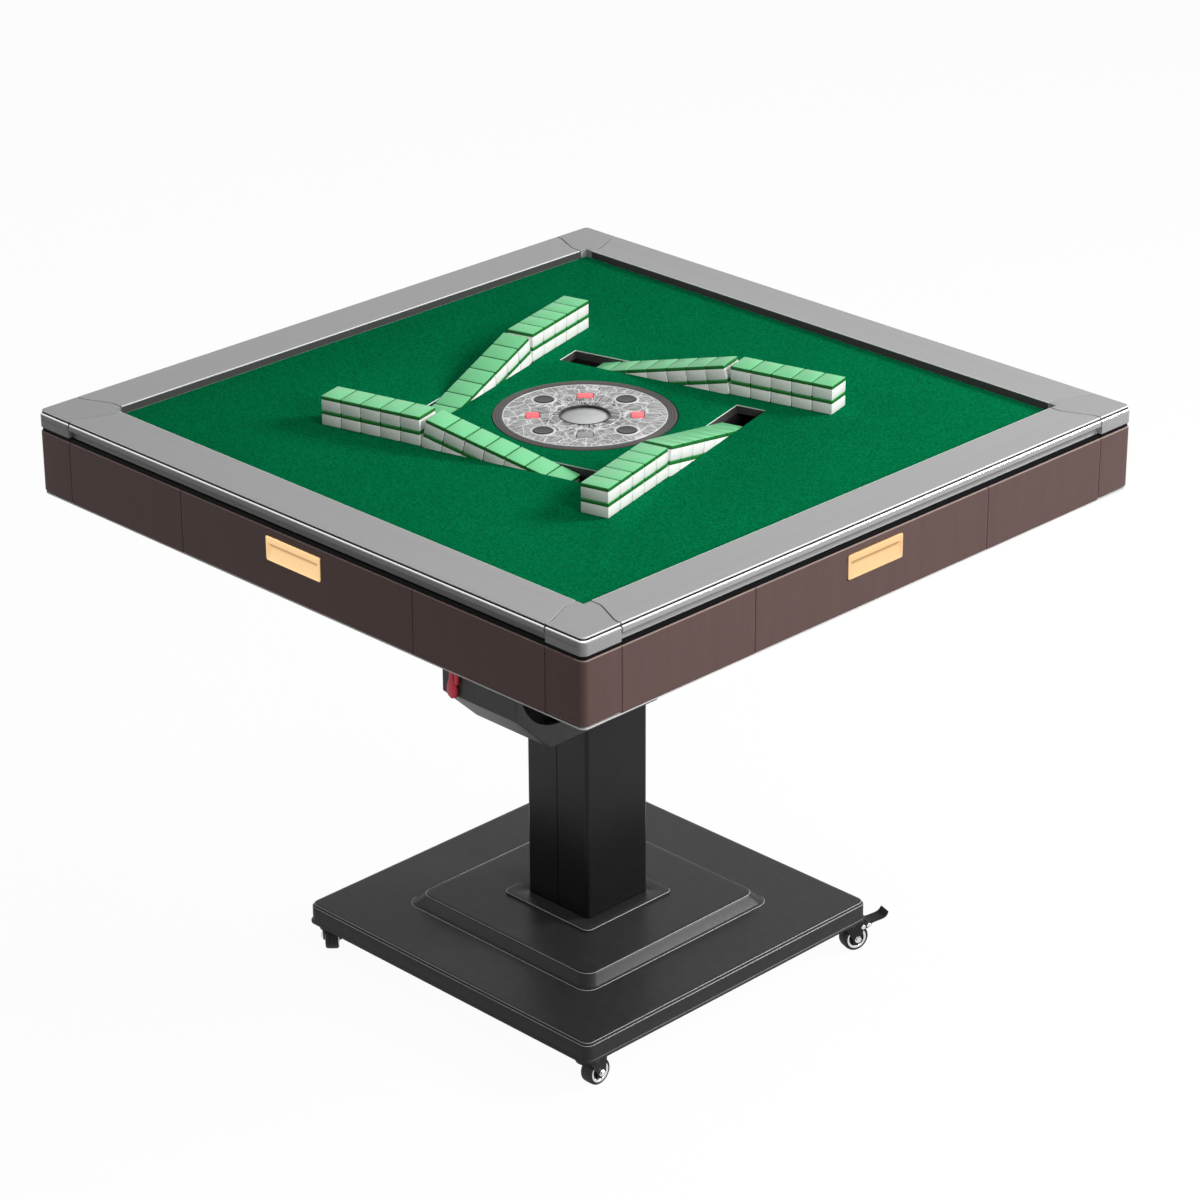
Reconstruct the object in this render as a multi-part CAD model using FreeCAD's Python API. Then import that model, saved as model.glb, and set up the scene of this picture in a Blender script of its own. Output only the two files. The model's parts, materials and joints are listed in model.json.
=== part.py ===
import FreeCAD
import Part
import math
import os

os.makedirs("parts", exist_ok=True)

# Automatic mahjong table on a folding column stand, in millimetres.
# +Z is up and the origin is on the floor under the middle of the top. The front is -Y.
# Sides run front, right, back, left: each one is the front turned by a quarter.

# Whole table and general fits
table_width = 1000.0
table_height = 805.0
overrun = 5.0
match_tolerance = 0.001
seat_gap = 0.3
panel_gap = 0.5
shaft_clearance = 0.05

# Top frame
rail_width = 70.0
lip_height = 12.0
cove_height = 11.0
cove_depth = 9.0
lip_return = 1.5
cove_sag_share = 0.2
frame_edge_radius = 2.5
corner_radius = 9.0
corner_length = 63.0
seam_shift = 18.5
seam_outer_straight = 3.0
seam_inner_straight = 17.0

# Playing board and cloth
felt_recess = 11.0
felt_thickness = 2.0

# Apron, chassis and tray
apron_gap = 6.0
apron_height = 85.0
apron_thickness = 12.0
post_lift = 2.5
chassis_tube = 25.0
chassis_wall = 2.0
ledge_lap = 15.0
ledge_thickness = 3.0
tray_thickness = 2.0
tray_inset = 1.0

# Drawers and pulls
drawer_front_width = 426.0
drawer_box_width = 380.0
drawer_box_depth = 120.0
drawer_box_height = 45.0
drawer_wall = 3.0
drawer_lift = 9.0
runner_width = 20.0
runner_inset = 25.0
pull_width = 100.0
pull_height = 33.0
pull_drop = 9.5
pull_proud = 1.5
pull_lip = 11.0
pull_border = 6.0
pull_sill = 3.5
pull_back = 3.0
pull_clearance = 0.2

# Tile walls, slots and ramps
wall_turn = 15.0
wall_offset = 175.0
slot_length = 257.0
slot_width = 42.0
slot_clearance = 0.2
ramp_slope = 13.2
ramp_thickness = 3.0
ramp_wall = 2.0
ramp_overlap = 31.5
tile_length = 40.0
tile_width = 30.0
tile_thickness = 20.0
tile_back_thickness = 5.0
tile_gap = 0.2
flat_stacks = 5
ramp_stacks = 7
layers = 2
pusher_length = 12.0
pusher_height = 30.0
pusher_side_gap = 1.3

# Console
console_radius = 120.0
console_gap = 1.0
console_rise = 0.5
ring_width = 12.0
face_drop = 0.5
face_thickness = 4.0
face_gap = 0.2
pan_depth = 30.5
pan_floor = 3.0
pan_wall = 4.0
pan_ledge = 4.0
dome_radius = 32.5
dome_crown = 3.0
dome_wall = 2.0
cup_wall = 3.0
button_radius = 13.0
button_circle = 76.0
button_rise = 1.5
button_gap = 0.3
button_flange = 2.5
button_flange_thickness = 2.0
window_length = 22.0
window_depth = 18.0
window_radius = 3.0
window_circle = 68.0
window_rise = 0.2
plate_radius = 27.0
plate_thickness = 3.0
plate_height = 8.0
plate_shaft_radius = 3.0
dice_size = 12.0
dice_spread = 9.0
dice_turns = (20.0, -15.0)

# Console lift
screw_radius = 8.0
screw_foot_radius = 14.0
screw_foot_thickness = 3.0
screw_reach = 54.0
nut_height = 8.0
nut_gap = 0.7
lift_tube_radius = 20.0
lift_tube_wall = 6.0
lift_flange_radius = 40.0
lift_flange_thickness = 4.0

# Tile mixer
turntable_radius = 225.0
turntable_bore = 70.0
turntable_thickness = 6.0
bead_radius = 213.0
bead_width = 8.0
bead_height = 8.7
roller_radius = 20.0
roller_overlap = 2.0
roller_shaft_radius = 4.0
roller_shaft_grip = 8.0
motor_angle = -77.0
motor_radius = 25.0
motor_height = 38.0
motor_plate_radius = 28.0
motor_plate_thickness = 2.5
motor_gap = 1.0
motor_leg_thickness = 6.0
motor_leg_width = 40.0
control_box_length = 160.0
control_box_width = 90.0
control_box_height = 42.0
control_box_radius = 4.0
control_box_inset = 158.0

# Fold hinge and fold head
leaf_thickness = 3.0
leaf_length = 200.0
leaf_width = 220.0
leaf_shift = 2.0
hinge_gap = 1.0
hinge_inset = 5.5
knuckle_radius = 9.0
knuckle_length = 100.0
pin_radius = 5.0
ear_thickness = 10.0
ear_gap = 1.0
head_gap = 3.0
head_plate_thickness = 8.0
head_width = 140.4
head_front = 196.0
head_back = 122.0
head_height = 270.0
slope_run = 59.4
slope_fall = 57.0
head_wall = 3.0
head_edge_radius = 1.5
vent_radius = 70.7
vent_rise = 101.7
vent_y = -118.3
pad_radius = 15.0
pad_inset = 27.5
pad_spread = 45.0

# Release lever
lever_x = -47.3
lever_rise = 126.5
lever_thickness = 5.0
lever_gap = 1.0
lever_length = 64.0
lever_boss_radius = 10.0
lever_arm_width = 9.4
lever_paddle_radius = 8.6
lever_paddle_length = 24.0
prong_offset = 9.0
prong_width = 7.0
prong_length = 47.0
lever_shaft_radius = 6.0
lever_cam_radius = 9.0
lever_cam_thickness = 6.0
lever_cam_gap = 2.0

# Power inlet
inlet_rise = 97.0
inlet_y = -112.0
inlet_flange_width = 58.0
inlet_flange_height = 36.0
inlet_flange_thickness = 2.0
inlet_body_width = 46.0
inlet_body_height = 26.0
inlet_body_depth = 26.0
socket_width = 36.0
socket_height = 18.0
socket_depth = 18.0
inlet_clearance = 0.2

# Column
column_size = 112.8
column_radius = 8.0
column_wall = 2.5
column_seam = 0.8
column_clearance = 0.6
column_reach = 34.0
tube_size = 90.0
tube_wall = 4.0
tube_clearance = 1.0

# Base
base_size = 543.0
base_lip = 2.5
base_lip_height = 4.0
base_height = 28.4
base_radius = 20.0
base_wall = 3.0
base_edge_radius = 3.0
base_plate_thickness = 5.0
step_bottom_size = 344.0
step_top_size = 322.0
step_height = 14.8
step_radius = 18.0
flange_size = 161.4
flange_thickness = 2.8
flange_radius = 6.0

# Casters
wheel_radius = 19.0
wheel_width = 18.0
tyre_thickness = 4.5
wheel_headroom = 2.0
hub_proud = 0.3
cheek_gap = 1.0
cheek_thickness = 2.5
axle_radius = 3.0
axle_boss_radius = 7.0
caster_trail = 14.0
caster_inset = 22.5
crown_radius = 16.0
crown_thickness = 4.0
crown_back = 8.0
crown_front = 24.0
race_radius = 13.0
race_height = 4.7
stem_radius = 5.0
stem_nut_radius = 8.0
stem_nut_height = 4.0
pedal_pivot = 31.0
pedal_drop = 3.0
pedal_pin_radius = 2.0
pedal_hub_radius = 4.0
pedal_length = 34.0
pedal_thickness = 3.0
pedal_tilt = 8.0
pedal_side_gap = 0.5

# Names of sides, and each caster's corner signs, trail direction in degrees and brake
sides = ("front", "right", "back", "left")
casters = {
    "front_right": (1, -1, 90.0, False),
    "back_right": (1, 1, 72.0, True),
    "back_left": (-1, 1, 60.0, True),
    "front_left": (-1, -1, 135.0, False),
}

# Levels and places that follow from the sizes above
half = table_width / 2
board_half = half - rail_width
felt_top = table_height - felt_recess
board_top = felt_top - felt_thickness
frame_bottom = table_height - lip_height - cove_height
apron_top = frame_bottom - apron_gap
tray_top = apron_top - apron_height
tray_bottom = tray_top - tray_thickness
chassis_half = half - apron_thickness
chassis_bottom = frame_bottom - chassis_tube
seam_x = half - corner_length
drawer_half = drawer_front_width / 2
hinge_z = tray_bottom - leaf_thickness - hinge_gap - knuckle_radius
head_top = hinge_z - knuckle_radius - head_gap
head_shell_top = head_top - head_plate_thickness
head_bottom = head_shell_top - head_height
head_half = head_width / 2
hinge_y = head_back - hinge_inset
crown_bottom = wheel_radius + wheel_radius + wheel_headroom
crown_top = crown_bottom + crown_thickness
race_top = crown_top + race_height
base_bottom = race_top + seat_gap
base_plate_top = base_bottom + base_plate_thickness
base_top = base_bottom + base_height
step_top = base_top + step_height
base_half = base_size / 2
ring_top = felt_top + console_rise
pan_bottom = ring_top - pan_depth
pan_top = pan_bottom + pan_floor
face_radius = console_radius - ring_width
face_top = ring_top - face_drop
face_bottom = face_top - face_thickness
nut_bottom = tray_top + seat_gap + screw_foot_thickness + nut_gap
nut_top = nut_bottom + nut_height
turntable_bottom = tray_top + bead_height + seat_gap
turntable_top = turntable_bottom + turntable_thickness
roller_reach = turntable_radius + roller_radius + seat_gap
column_half = column_size / 2
tube_half = tube_size / 2
slot_half = slot_length / 2
ramp_half = slot_width / 2 - slot_clearance
ramp_fall_rate = math.tan(math.radians(ramp_slope))
slope_share = math.tan(math.atan2(slope_fall, slope_run) / 2)


def vec(x, y, z):
    return FreeCAD.Vector(x, y, z)


origin = vec(0, 0, 0)
x_axis = vec(1, 0, 0)
y_axis = vec(0, 1, 0)
up = vec(0, 0, 1)


def block(x_span, y_span, z_span):
    """Box between a low and a high value on each axis."""
    size = [span[1] - span[0] for span in (x_span, y_span, z_span)]
    return Part.makeBox(size[0], size[1], size[2], vec(x_span[0], y_span[0], z_span[0]))


def post(radius, z_low, z_high, x=0.0, y=0.0):
    """Upright cylinder."""
    return Part.makeCylinder(radius, z_high - z_low, vec(x, y, z_low))


def cross_pin(radius, y_low, y_high, x, z):
    """Cylinder that lies along Y."""
    return Part.makeCylinder(radius, y_high - y_low, vec(x, y_low, z), y_axis)


def sleeve(outer, inner, z_low, z_high):
    """Upright tube round the middle."""
    return post(outer, z_low, z_high).cut(post(inner, z_low - overrun, z_high + overrun))


def extruded(edges, direction):
    """Solid made by pushing a closed flat outline along a direction."""
    return Part.Face(Part.Wire(edges)).extrude(direction)


def polygon_edges(points):
    """Straight edges that join the points and return to the first."""
    return [Part.makeLine(a, b) for a, b in zip(points, points[1:] + points[:1])]


def revolved(edges):
    """Solid made by turning an outline in the XZ plane once round Z."""
    return Part.Face(Part.Wire(edges)).revolve(origin, up, 360)


def rounded_outline(half_x, half_y, radius, z):
    """Rectangle round the middle with rounded corners, as a wire at one level."""
    edges = []
    ends = []
    for quarter, (sx, sy) in enumerate(((1, 1), (-1, 1), (-1, -1), (1, -1))):
        centre = vec(sx * (half_x - radius), sy * (half_y - radius), z)
        angles = [math.pi / 4 * (quarter + quarter + step) for step in range(3)]
        points = [centre + vec(radius * math.cos(a), radius * math.sin(a), 0) for a in angles]
        edges.append(Part.Arc(points[0], points[1], points[2]).toShape())
        ends.append((points[0], points[2]))
    for here, there in zip(ends, ends[1:] + ends[:1]):
        edges.append(Part.makeLine(here[1], there[0]))
    return Part.Wire(Part.__sortEdges__(edges))


def rounded_slab(half_x, half_y, radius, z_low, z_high):
    """Flat block with rounded upright edges."""
    return Part.Face(rounded_outline(half_x, half_y, radius, z_low)).extrude(vec(0, 0, z_high - z_low))


def quarter_turn(shape, turns):
    """Copy of a front piece, turned to another side."""
    copy = shape.copy()
    copy.rotate(origin, up, 90 * turns)
    return copy


def all_sides(shape):
    """Four copies of a front piece, one for each side."""
    return [quarter_turn(shape, turns) for turns in range(len(sides))]


def save(name, *solids):
    """Write one named piece, or a group of like pieces."""
    shape = solids[0] if len(solids) == 1 else Part.makeCompound(list(solids))
    shape.exportStep("parts/%s.step" % name)


# Top frame

def seam_edges(swap):
    """Curved seam of rail and corner block, from the outer edge in; swap mirrors it to the other rail."""
    inner_x = seam_x - seam_shift
    y_start = seam_outer_straight - half
    y_end = -board_half - seam_inner_straight
    rise = (y_end - y_start) / 2
    bend = (seam_shift * seam_shift / 4 + rise * rise) / seam_shift
    sweep = math.asin(rise / bend) / 2
    side = bend - bend * math.cos(sweep)
    lift = bend * math.sin(sweep)
    flat = [
        (seam_x, -half), (seam_x, y_start), (seam_x - side, y_start + lift),
        (seam_x - seam_shift / 2, y_start + rise), (inner_x + side, y_end - lift),
        (inner_x, y_end), (inner_x, -board_half),
    ]
    p = [vec(-y, -x, frame_bottom) if swap else vec(x, y, frame_bottom) for x, y in flat]
    return [
        Part.makeLine(p[0], p[1]), Part.Arc(p[1], p[2], p[3]).toShape(),
        Part.Arc(p[3], p[4], p[5]).toShape(), Part.makeLine(p[5], p[6]),
    ]


def corner_plan_solid():
    """Block of the corner's plan shape over the full height of the frame."""
    z = frame_bottom
    diagonal = corner_radius * math.sqrt(0.5)
    centre = half - corner_radius
    outer = [
        Part.makeLine(vec(seam_x, -half, z), vec(centre, -half, z)),
        Part.Arc(vec(centre, -half, z), vec(centre + diagonal, -centre - diagonal, z),
                 vec(half, -centre, z)).toShape(),
        Part.makeLine(vec(half, -centre, z), vec(half, -seam_x, z)),
    ]
    inner = [
        Part.makeLine(vec(seam_x - seam_shift, -board_half, z), vec(board_half, -board_half, z)),
        Part.makeLine(vec(board_half, -board_half, z), vec(board_half, seam_shift - seam_x, z)),
    ]
    edges = outer + inner + seam_edges(False) + seam_edges(True)
    return extruded(Part.__sortEdges__(edges), vec(0, 0, table_height - z))


def frame_corner():
    """Corner block with a rounded outer top edge."""
    solid = corner_plan_solid()
    edges = []
    for edge in solid.Edges:
        middle = edge.CenterOfMass
        straight = abs(middle.y + half) < match_tolerance or abs(middle.x - half) < match_tolerance
        round_edge = abs(getattr(edge.Curve, "Radius", 0) - corner_radius) < match_tolerance
        if edge.BoundBox.ZMin > table_height - match_tolerance and (straight or round_edge):
            edges.append(edge)
    return solid.makeFillet(frame_edge_radius, edges)


def frame_rail():
    """Front rail: outer lip over a hollow band, cut at both ends by the corner blocks' seams."""
    x = -seam_x
    r = frame_edge_radius
    corner_in = r - r * math.sqrt(0.5)
    lip_bottom = table_height - lip_height
    in_y = -board_half
    cove = ((cove_depth + lip_return) / 2 + cove_sag_share * cove_depth, (lip_bottom + frame_bottom) / 2)
    edges = [
        Part.makeLine(vec(x, -half, lip_bottom), vec(x, -half, table_height - r)),
        Part.Arc(vec(x, -half, table_height - r), vec(x, corner_in - half, table_height - corner_in),
                 vec(x, r - half, table_height)).toShape(),
        Part.makeLine(vec(x, r - half, table_height), vec(x, in_y, table_height)),
        Part.makeLine(vec(x, in_y, table_height), vec(x, in_y, frame_bottom)),
        Part.makeLine(vec(x, in_y, frame_bottom), vec(x, cove_depth - half, frame_bottom)),
        Part.Arc(vec(x, cove_depth - half, frame_bottom), vec(x, cove[0] - half, cove[1]),
                 vec(x, lip_return - half, lip_bottom)).toShape(),
        Part.makeLine(vec(x, lip_return - half, lip_bottom), vec(x, -half, lip_bottom)),
    ]
    rail = extruded(edges, vec(seam_x + seam_x, 0, 0))
    corner = corner_plan_solid()
    return rail.cut(corner).cut(quarter_turn(corner, -1))


# Board, cloth, apron and chassis

def playing_sheet(z_low, z_high):
    """Square sheet with the console hole and the four tile slots."""
    sheet = block((-board_half, board_half), (-board_half, board_half), (z_low, z_high))
    z_cut = (z_low - overrun, z_high + overrun)
    sheet = sheet.cut(post(console_radius + console_gap, z_cut[0], z_cut[1]))
    across = (-wall_offset - slot_width / 2, slot_width / 2 - wall_offset)
    slot = in_wall(block((-slot_half, slot_half), across, z_cut))
    for cut in all_sides(slot):
        sheet = sheet.cut(cut)
    return sheet


def apron_post():
    """Rounded corner post between the panels of two sides."""
    z_low = tray_top + post_lift
    shell = rounded_slab(half, half, corner_radius, z_low, apron_top)
    inner = (-chassis_half, chassis_half)
    shell = shell.cut(block(inner, inner, (z_low - overrun, apron_top + overrun)))
    start = seam_x + panel_gap
    return shell.common(block((start, half), (-half, -start), (z_low, apron_top)))


def apron_panels():
    """The two fixed panels beside a front drawer."""
    start = drawer_half + panel_gap
    right = block((start, seam_x), (-half, -chassis_half), (tray_top, apron_top))
    left = block((-seam_x, -start), (-half, -chassis_half), (tray_top, apron_top))
    return [left, right]


def square_ring(outer, inner, z_low, z_high):
    """Square frame round the middle."""
    ring = block((-outer, outer), (-outer, outer), (z_low, z_high))
    return ring.cut(block((-inner, inner), (-inner, inner), (z_low - overrun, z_high + overrun)))


def chassis():
    """Steel channel frame under the rails, with a ledge for the board and a leg in each corner."""
    inner = chassis_half - chassis_tube
    frame = square_ring(chassis_half, inner, chassis_bottom, frame_bottom)
    frame = frame.cut(square_ring(chassis_half - chassis_wall, inner + chassis_wall,
                                  chassis_bottom - overrun, frame_bottom - chassis_wall))
    ledge = square_ring(inner + chassis_wall, board_half - ledge_lap,
                        frame_bottom - ledge_thickness, frame_bottom)
    frame = frame.fuse(ledge)
    leg = block((inner, chassis_half), (-chassis_half, -inner), (tray_top, frame_bottom - chassis_wall / 2))
    hollow = block((inner + chassis_wall, chassis_half - chassis_wall),
                   (chassis_wall - chassis_half, -inner - chassis_wall),
                   (tray_top - overrun, frame_bottom - chassis_wall))
    for corner in all_sides(leg.cut(hollow)):
        frame = frame.fuse(corner)
    return frame.removeSplitter()


def drawer_runners():
    """The two bars that a front drawer slides on."""
    outer = drawer_box_width / 2 - runner_inset
    y_span = (chassis_tube / 2 - chassis_half, drawer_box_depth - chassis_half)
    z_span = (tray_top, tray_top + drawer_lift - seat_gap)
    right = block((outer - runner_width, outer), y_span, z_span)
    left = block((-outer, runner_width - outer), y_span, z_span)
    return [left, right]


def under_tray():
    """Floor of the machine, with the round bead that the turntable runs on."""
    tray_half = half - tray_inset
    tray = rounded_slab(tray_half, tray_half, corner_radius - tray_inset, tray_bottom, tray_top)
    bead = sleeve(bead_radius, bead_radius - bead_width, tray_top, tray_top + bead_height)
    return tray.fuse(bead)


# Drawers

def pull_span():
    """Heights of the lower and upper edge of a pull."""
    top = apron_top - pull_drop
    return (top - pull_height, top)


def drawer():
    """Front drawer: front panel with a hole for its pull, and an open box behind it."""
    back = apron_thickness - panel_gap - half
    front = block((-drawer_half, drawer_half), (-half, back), (tray_top + seat_gap, apron_top))
    low, high = pull_span()
    hole_half = pull_width / 2 + pull_clearance
    front = front.cut(block((-hole_half, hole_half), (-half - overrun, back + overrun),
                            (low - pull_clearance, high + pull_clearance)))
    box_half = drawer_box_width / 2
    floor = tray_top + drawer_lift
    outer = block((-box_half, box_half), (back, back + drawer_box_depth), (floor, floor + drawer_box_height))
    inner = block((drawer_wall - box_half, box_half - drawer_wall),
                  (back + drawer_wall, back + drawer_box_depth - drawer_wall),
                  (floor + drawer_wall, floor + drawer_box_height + overrun))
    return [front, outer.cut(inner)]


def pull():
    """Cup pull in a front drawer: a lip above an open finger recess."""
    low, high = pull_span()
    back = apron_thickness - panel_gap - half
    face = -half - pull_proud
    body = block((-pull_width / 2, pull_width / 2), (face, back), (low, high))
    recess_half = pull_width / 2 - pull_border
    recess = block((-recess_half, recess_half), (face - overrun, back - pull_back),
                   (low + pull_sill, high - pull_lip))
    return body.cut(recess)


# Tile walls

def in_wall(shape):
    """Turn a piece that is modelled along X to the slant of the front tile wall."""
    shape.rotate(origin, up, wall_turn)
    return shape


def on_ramp(shape):
    """Tip a piece that is modelled level, from the slot's start, down to the ramp's slope."""
    shape.rotate(vec(-slot_half, -wall_offset, felt_top), y_axis, ramp_slope)
    return shape


def tile_layers(x_low, sloping):
    """White bodies and green backs of the tiles in one stack of the front wall."""
    bodies = []
    backs = []
    x_span = (x_low, x_low + tile_width - tile_gap)
    y_span = (-wall_offset - tile_length / 2, tile_length / 2 - wall_offset)
    for layer in range(layers):
        floor = felt_top + tile_thickness * layer
        middle = floor + tile_thickness - tile_back_thickness
        for z_span, pieces in (((floor, middle), bodies), ((middle, floor + tile_thickness), backs)):
            tile = block(x_span, y_span, z_span)
            pieces.append(in_wall(on_ramp(tile) if sloping else tile))
    return bodies, backs


def tile_wall():
    """All tiles of the front wall: level stacks on the cloth, then stacks coming up the ramp."""
    bodies = []
    backs = []
    starts = [(tile_width * i - slot_half - tile_width * flat_stacks, False) for i in range(flat_stacks)]
    starts += [(tile_width * i - slot_half, True) for i in range(ramp_stacks)]
    for x_low, sloping in starts:
        more_bodies, more_backs = tile_layers(x_low, sloping)
        bodies += more_bodies
        backs += more_backs
    return bodies, backs


def ramp_height(x):
    """Level of the front ramp's surface at a place along it."""
    return felt_top - (x + slot_half) * ramp_fall_rate


def ramp():
    """Front tile chute: sloping floor in the slot, with side walls hung from the board."""
    start = slot_clearance - slot_half
    end = slot_half + ramp_overlap
    outline = [(start, ramp_height(start)), (end, ramp_height(end)),
               (end, ramp_height(end) - ramp_thickness), (start, ramp_height(start) - ramp_thickness)]
    low_y = -wall_offset - ramp_half
    floor = extruded(polygon_edges([vec(x, low_y, z) for x, z in outline]), vec(0, ramp_half + ramp_half, 0))
    meet = start + (ramp_height(start) - ramp_thickness - frame_bottom) / ramp_fall_rate
    flank = [(meet, frame_bottom), (end, frame_bottom), (end, ramp_height(end) - ramp_thickness)]
    solid = floor
    for y in (low_y - ramp_wall, ramp_half - wall_offset):
        wall = extruded(polygon_edges([vec(x, y, z) for x, z in flank]), vec(0, ramp_wall, 0))
        solid = solid.fuse(wall)
    return in_wall(solid)


def pusher():
    """Block behind the last stack on the front ramp."""
    start = tile_width * ramp_stacks - slot_half + seat_gap
    reach = slot_width / 2 - pusher_side_gap
    body = block((start, start + pusher_length), (-wall_offset - reach, reach - wall_offset),
                 (felt_top + seat_gap, felt_top + pusher_height))
    return in_wall(on_ramp(body))


# Console and its lift

def section(points):
    """Outline in the XZ plane from radius and height pairs."""
    return polygon_edges([vec(r, 0, z) for r, z in points])


def console_ring():
    """Pan of the console with its ring, a ledge for the face and the wall of the dice cup."""
    ledge_bottom = face_bottom - pan_ledge
    wall_in = console_radius - pan_wall
    ledge_in = face_radius - pan_ledge
    pan = revolved(section([
        (0, pan_bottom), (console_radius, pan_bottom), (console_radius, ring_top), (face_radius, ring_top),
        (face_radius, face_bottom), (ledge_in, face_bottom), (ledge_in, ledge_bottom),
        (wall_in, ledge_bottom), (wall_in, pan_top), (0, pan_top),
    ]))
    pan = pan.fuse(sleeve(dome_radius + face_gap, dome_radius - cup_wall, pan_bottom, face_bottom))
    boss = post(plate_shaft_radius + pan_wall, pan_bottom, pan_top + plate_height - seat_gap)
    pan = pan.fuse(boss)
    return pan.cut(post(plate_shaft_radius + shaft_clearance, pan_bottom - overrun, face_top))


def around(shape, radius, angle):
    """Move a piece from the middle out to a radius and round to an angle."""
    shape.translate(vec(radius, 0, 0))
    shape.rotate(origin, up, angle)
    return shape


def window(margin, z_low, z_high):
    """One signal window, in its diagonal place when turned by half a quarter."""
    return rounded_slab(window_depth / 2 + margin, window_length / 2 + margin, window_radius, z_low, z_high)


def console_face():
    """Round face with holes for the dome, the buttons and the signal windows."""
    face = post(face_radius - face_gap, face_bottom, face_top)
    z_cut = (face_bottom - overrun, face_top + overrun)
    face = face.cut(post(dome_radius + face_gap, z_cut[0], z_cut[1]))
    for turns in range(len(sides)):
        hole = post(button_radius + button_gap, z_cut[0], z_cut[1])
        face = face.cut(around(hole, button_circle, 90 * turns))
        face = face.cut(around(window(face_gap, z_cut[0], z_cut[1]), window_circle, 90 * turns + 45))
    return face


def button():
    """Round push button, held under the face by a flange."""
    top = face_bottom - button_gap
    cap = post(button_radius, top - button_flange_thickness, face_top + button_rise)
    return cap.fuse(post(button_radius + button_flange, top - button_flange_thickness, top))


def cap_arc(radius, rim, crown):
    """Shallow arc from the rim at a radius to the crown over the middle."""
    rise = crown - rim
    ball = (radius * radius + rise * rise) / (rise + rise)
    half_way = radius / 2
    middle = crown - ball + math.sqrt(ball * ball - half_way * half_way)
    return Part.Arc(vec(radius, 0, rim), vec(half_way, 0, middle), vec(0, 0, crown)).toShape()


def dice_dome():
    """Clear cover over the dice, gently crowned."""
    inner = dome_radius - dome_wall
    crown = face_top + dome_crown
    edges = [
        Part.makeLine(vec(inner, 0, face_bottom), vec(dome_radius, 0, face_bottom)),
        Part.makeLine(vec(dome_radius, 0, face_bottom), vec(dome_radius, 0, face_top)),
        cap_arc(dome_radius, face_top, crown),
        Part.makeLine(vec(0, 0, crown), vec(0, 0, crown - dome_wall)),
        cap_arc(inner, face_top - dome_wall, crown - dome_wall),
        Part.makeLine(vec(inner, 0, face_top - dome_wall), vec(inner, 0, face_bottom)),
    ]
    return revolved(Part.__sortEdges__(edges))


def dice_plate():
    """Spinning plate on its shaft, with two dice lying on it."""
    bottom = pan_top + plate_height
    plate = post(plate_radius, bottom, bottom + plate_thickness)
    plate = plate.fuse(post(plate_shaft_radius, pan_bottom, bottom))
    pieces = [plate]
    floor = bottom + plate_thickness
    reach = dice_size / 2
    for side, turn in zip((-1, 1), dice_turns):
        die = block((-reach, reach), (-reach, reach), (floor, floor + dice_size))
        die.rotate(origin, up, turn)
        die.translate(vec(side * dice_spread, 0, 0))
        pieces.append(die)
    return pieces


def lift_carriage():
    """Tube under the console that ends in the nut on the lead screw."""
    tube = sleeve(lift_tube_radius, lift_tube_radius - lift_tube_wall, nut_top, pan_bottom)
    nut = sleeve(lift_tube_radius, screw_radius + shaft_clearance, nut_bottom, nut_top)
    flange = sleeve(lift_flange_radius, lift_tube_radius - lift_tube_wall,
                    pan_bottom - lift_flange_thickness, pan_bottom)
    return tube.fuse(nut).fuse(flange).removeSplitter()


def lead_screw():
    """Lift screw on a foot that turns on the tray; its thread is left plain."""
    foot_bottom = tray_top + seat_gap
    screw = post(screw_radius, foot_bottom, nut_top + screw_reach)
    return screw.fuse(post(screw_foot_radius, foot_bottom, foot_bottom + screw_foot_thickness))


# Tile mixer

def drive_roller():
    """Friction roller against the turntable's rim, with its shaft up into the motor."""
    bottom = turntable_bottom - roller_overlap
    top = turntable_top + roller_overlap
    roller = post(roller_radius, bottom, top)
    shaft_top = top + motor_gap + motor_plate_thickness + roller_shaft_grip
    roller = roller.fuse(post(roller_shaft_radius, top, shaft_top))
    return around(roller, roller_reach, motor_angle)


def mix_motor():
    """Motor above the roller on a bracket that stands on the tray."""
    plate_bottom = turntable_top + roller_overlap + motor_gap
    plate_top = plate_bottom + motor_plate_thickness
    bore = post(roller_shaft_radius + shaft_clearance, plate_bottom - overrun, plate_top + roller_shaft_grip
                + seat_gap)
    leg_in = motor_plate_radius - motor_leg_thickness
    leg_half = motor_leg_width / 2
    plate = post(motor_plate_radius, plate_bottom, plate_top)
    plate = plate.fuse(block((0, motor_plate_radius), (-leg_half, leg_half), (plate_bottom, plate_top)))
    leg = block((leg_in, motor_plate_radius), (-leg_half, leg_half), (tray_top, plate_top))
    bracket = plate.fuse(leg).removeSplitter().cut(bore)
    can = post(motor_radius, plate_top, plate_top + motor_height).cut(bore)
    return [around(solid, roller_reach, motor_angle) for solid in (bracket, can)]


def control_box():
    """Closed box of the electronics on the tray, in the back left corner."""
    box = rounded_slab(control_box_length / 2, control_box_width / 2, control_box_radius,
                       tray_top, tray_top + control_box_height)
    offset = chassis_half - control_box_inset
    box.translate(vec(-offset, offset, 0))
    return box


# Fold head and hinge

def head_form(margin):
    """Fold head's form drawn in by a margin: a box along X, its underside sloped at front and back."""
    front = margin - head_front
    back = head_back - margin
    low = head_bottom + margin
    slope_top = head_bottom + slope_fall + margin * slope_share
    run = slope_run * (slope_top - low) / slope_fall
    x = head_half - margin
    points = [(front, slope_top), (front + run, low), (back - run, low), (back, slope_top),
              (back, head_shell_top), (front, head_shell_top)]
    return extruded(polygon_edges([vec(-x, y, z) for y, z in points]), vec(x + x, 0, 0))


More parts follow.
